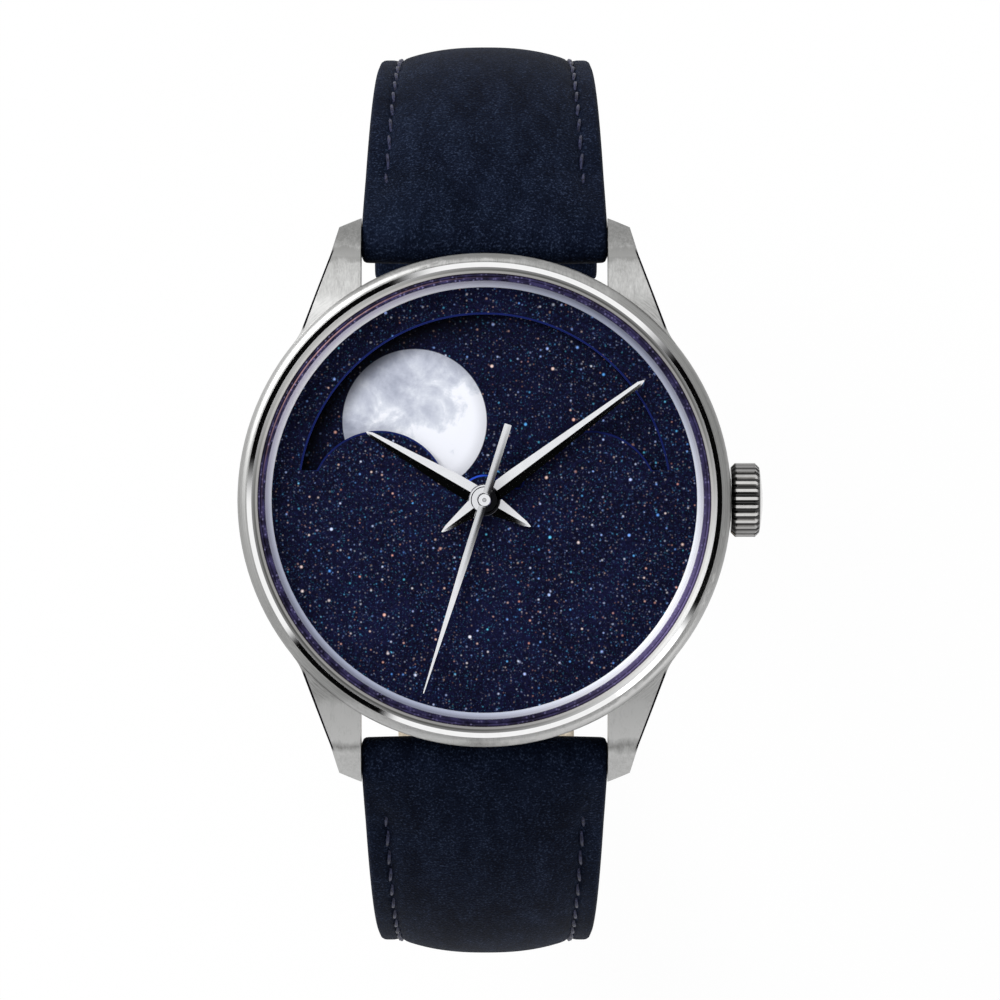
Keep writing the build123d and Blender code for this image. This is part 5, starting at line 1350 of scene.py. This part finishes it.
# Stitches: one waxed navy thread along each edge, each stitch a short arched length that dives
# into the leather at both ends and lies a little slanted in its groove.
thread_radius = 0.17
stitch_length = 2.35
stitch_slant = 0.10
stitch_arch, stitch_sink = 0.26, 0.10
groove_floor = 0.17


def waxed_thread():
    """Twisted thread: a fine stripe round the strand, dark with a pale waxy edge."""
    thread = Finish("waxed_thread")
    place = thread.place()
    twist = thread.noise(thread.stretched(place, (1.0, 1.0, 1.0), (0.6, 0.5, 0.8)), 5200.0, 2.0)
    tint = thread.mix(twist.rise(0.35, 0.65), (0.003, 0.004, 0.014), (0.034, 0.038, 0.088))
    normal = thread.bump(twist, 0.00003, 0.6)
    return thread.finished(Base_Color=tint, Roughness=0.38, Specular_IOR_Level=0.14, Normal=normal)


thread_finish = waxed_thread()


def top_height(half, run):
    """The height of the groove's floor at the stitch line."""
    thick = half.thickness(run)
    return thick * wall_share + wall_rise - groove_floor


def stitch_row(name, half, end, body):
    """All stitches of one half: tubes whose line arches as a half sine between its two ends."""
    starts = np.arange(stitch_start, end, stitch_pitch)
    u = np.linspace(0.0, 1.0, 9)
    turn = np.linspace(0.0, math.tau, 7)[:-1]
    pieces, faces, offset = [], [], 0
    for side in (-1.0, 1.0):
        run = starts[:, None] + (stitch_pitch - stitch_length) / 2 + u[None, :] * stitch_length
        x = side * (half.half_width(run) - stitch_inset) + stitch_slant * (u[None, :] - 0.5) * 2.0 * side
        lift = top_height(half, run) + stitch_arch * np.sin(math.pi * u)[None, :] - stitch_sink
        size = thread_radius * (0.55 + 0.45 * np.sin(math.pi * u)) ** 0.6
        ring_x = x[..., None] + (size[:, None] * np.cos(turn)[None, :])[None]
        ring_h = lift[..., None] + (size[:, None] * np.sin(turn)[None, :])[None]
        ring_run = np.broadcast_to(run[..., None], ring_x.shape)
        pieces.append(half.point(ring_run, ring_x, ring_h).reshape(-1, 3))
        count, rows, columns = ring_x.shape
        index = np.arange(count * rows * columns).reshape(count, rows, columns) + offset
        ahead = np.roll(index, -1, axis=2)
        quads = np.stack([index[:, :-1], ahead[:, :-1], ahead[:, 1:], index[:, 1:]], axis=-1)
        faces.append((quads if half.side < 0 else quads[..., ::-1]).reshape(-1, 4))
        offset += count * rows * columns
    row = faces_mesh(name, np.concatenate(pieces), np.concatenate(faces))
    row.data.materials.append(thread_finish)
    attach(row, body)


stitch_row("strap_12_stitches", buckle_half, 64.0, "strap_12")
stitch_row("strap_6_stitches", tail_half, 104.0, "strap_6")

# Keepers: bands of the same navy calf, folded and glued, that hold the strap's tail. One is sewn
# on near the buckle and one slides.
keeper_inner = (17.6 / 2, 5.4)
keeper_wall = 1.1
keeper_half_width = 2.5
keeper_floor_gap = 0.25
keeper_corner, keeper_squareness, keeper_turns = 0.5, 0.28, 9
keeper_places = (("fixed_keeper", 69.0, "strap_12"), ("loose_keeper", 60.5, "loose_keeper"))


def keeper_band(name, middle_run, body):
    """A rounded rectangle round the strap carries a flat rounded section: the outline's corner
    circles of the path, pushed out by the section's depth, at runs across its width."""
    floor = -buckle_half.thickness(np.float64(middle_run)) / 2 - keeper_floor_gap
    half_x, tall = keeper_inner
    centre_h = floor + tall / 2
    quarter = np.linspace(0.0, math.pi / 2, keeper_turns)
    turns = np.concatenate([quarter + k * math.pi / 2 for k in range(4)])
    sign_x = np.repeat((1.0, -1.0, -1.0, 1.0), keeper_turns)
    sign_h = np.repeat((1.0, 1.0, -1.0, -1.0), keeper_turns)
    path_x = sign_x * (half_x - keeper_corner)
    path_h = sign_h * (tall / 2 - keeper_corner)
    fold = np.linspace(0.0, math.tau, 33)[:-1]
    across = np.sign(np.cos(fold)) * np.abs(np.cos(fold)) ** keeper_squareness * keeper_half_width
    depth = np.sign(np.sin(fold)) * np.abs(np.sin(fold)) ** keeper_squareness * 0.5 + 0.5
    reach = keeper_corner + (depth * keeper_wall)[None, :]
    x = path_x[:, None] + np.cos(turns)[:, None] * reach
    height = centre_h + path_h[:, None] + np.sin(turns)[:, None] * reach
    run = np.broadcast_to(middle_run + across[None, :], x.shape)
    band = closed_pieces(name + "_leather", looped=[buckle_half.point(run, x, height)])
    band.data.materials.append(navy)
    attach(band, body)
    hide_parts(name)


for name, middle_run, body in keeper_places:
    keeper_band(name, middle_run, body)

# Buckle: a frame and a tongue of polished steel that both turn on one bar, which the loop at the
# end of the strap holds.
buckle_light, buckle_dark = (0.66, 0.655, 0.64), (0.52, 0.515, 0.50)
buckle_nodes = ("buckle_frame", "buckle_bar", "buckle_tongue")
dress(polished_steel("buckle_polish", buckle_light, buckle_dark, 0.12), *buckle_nodes)
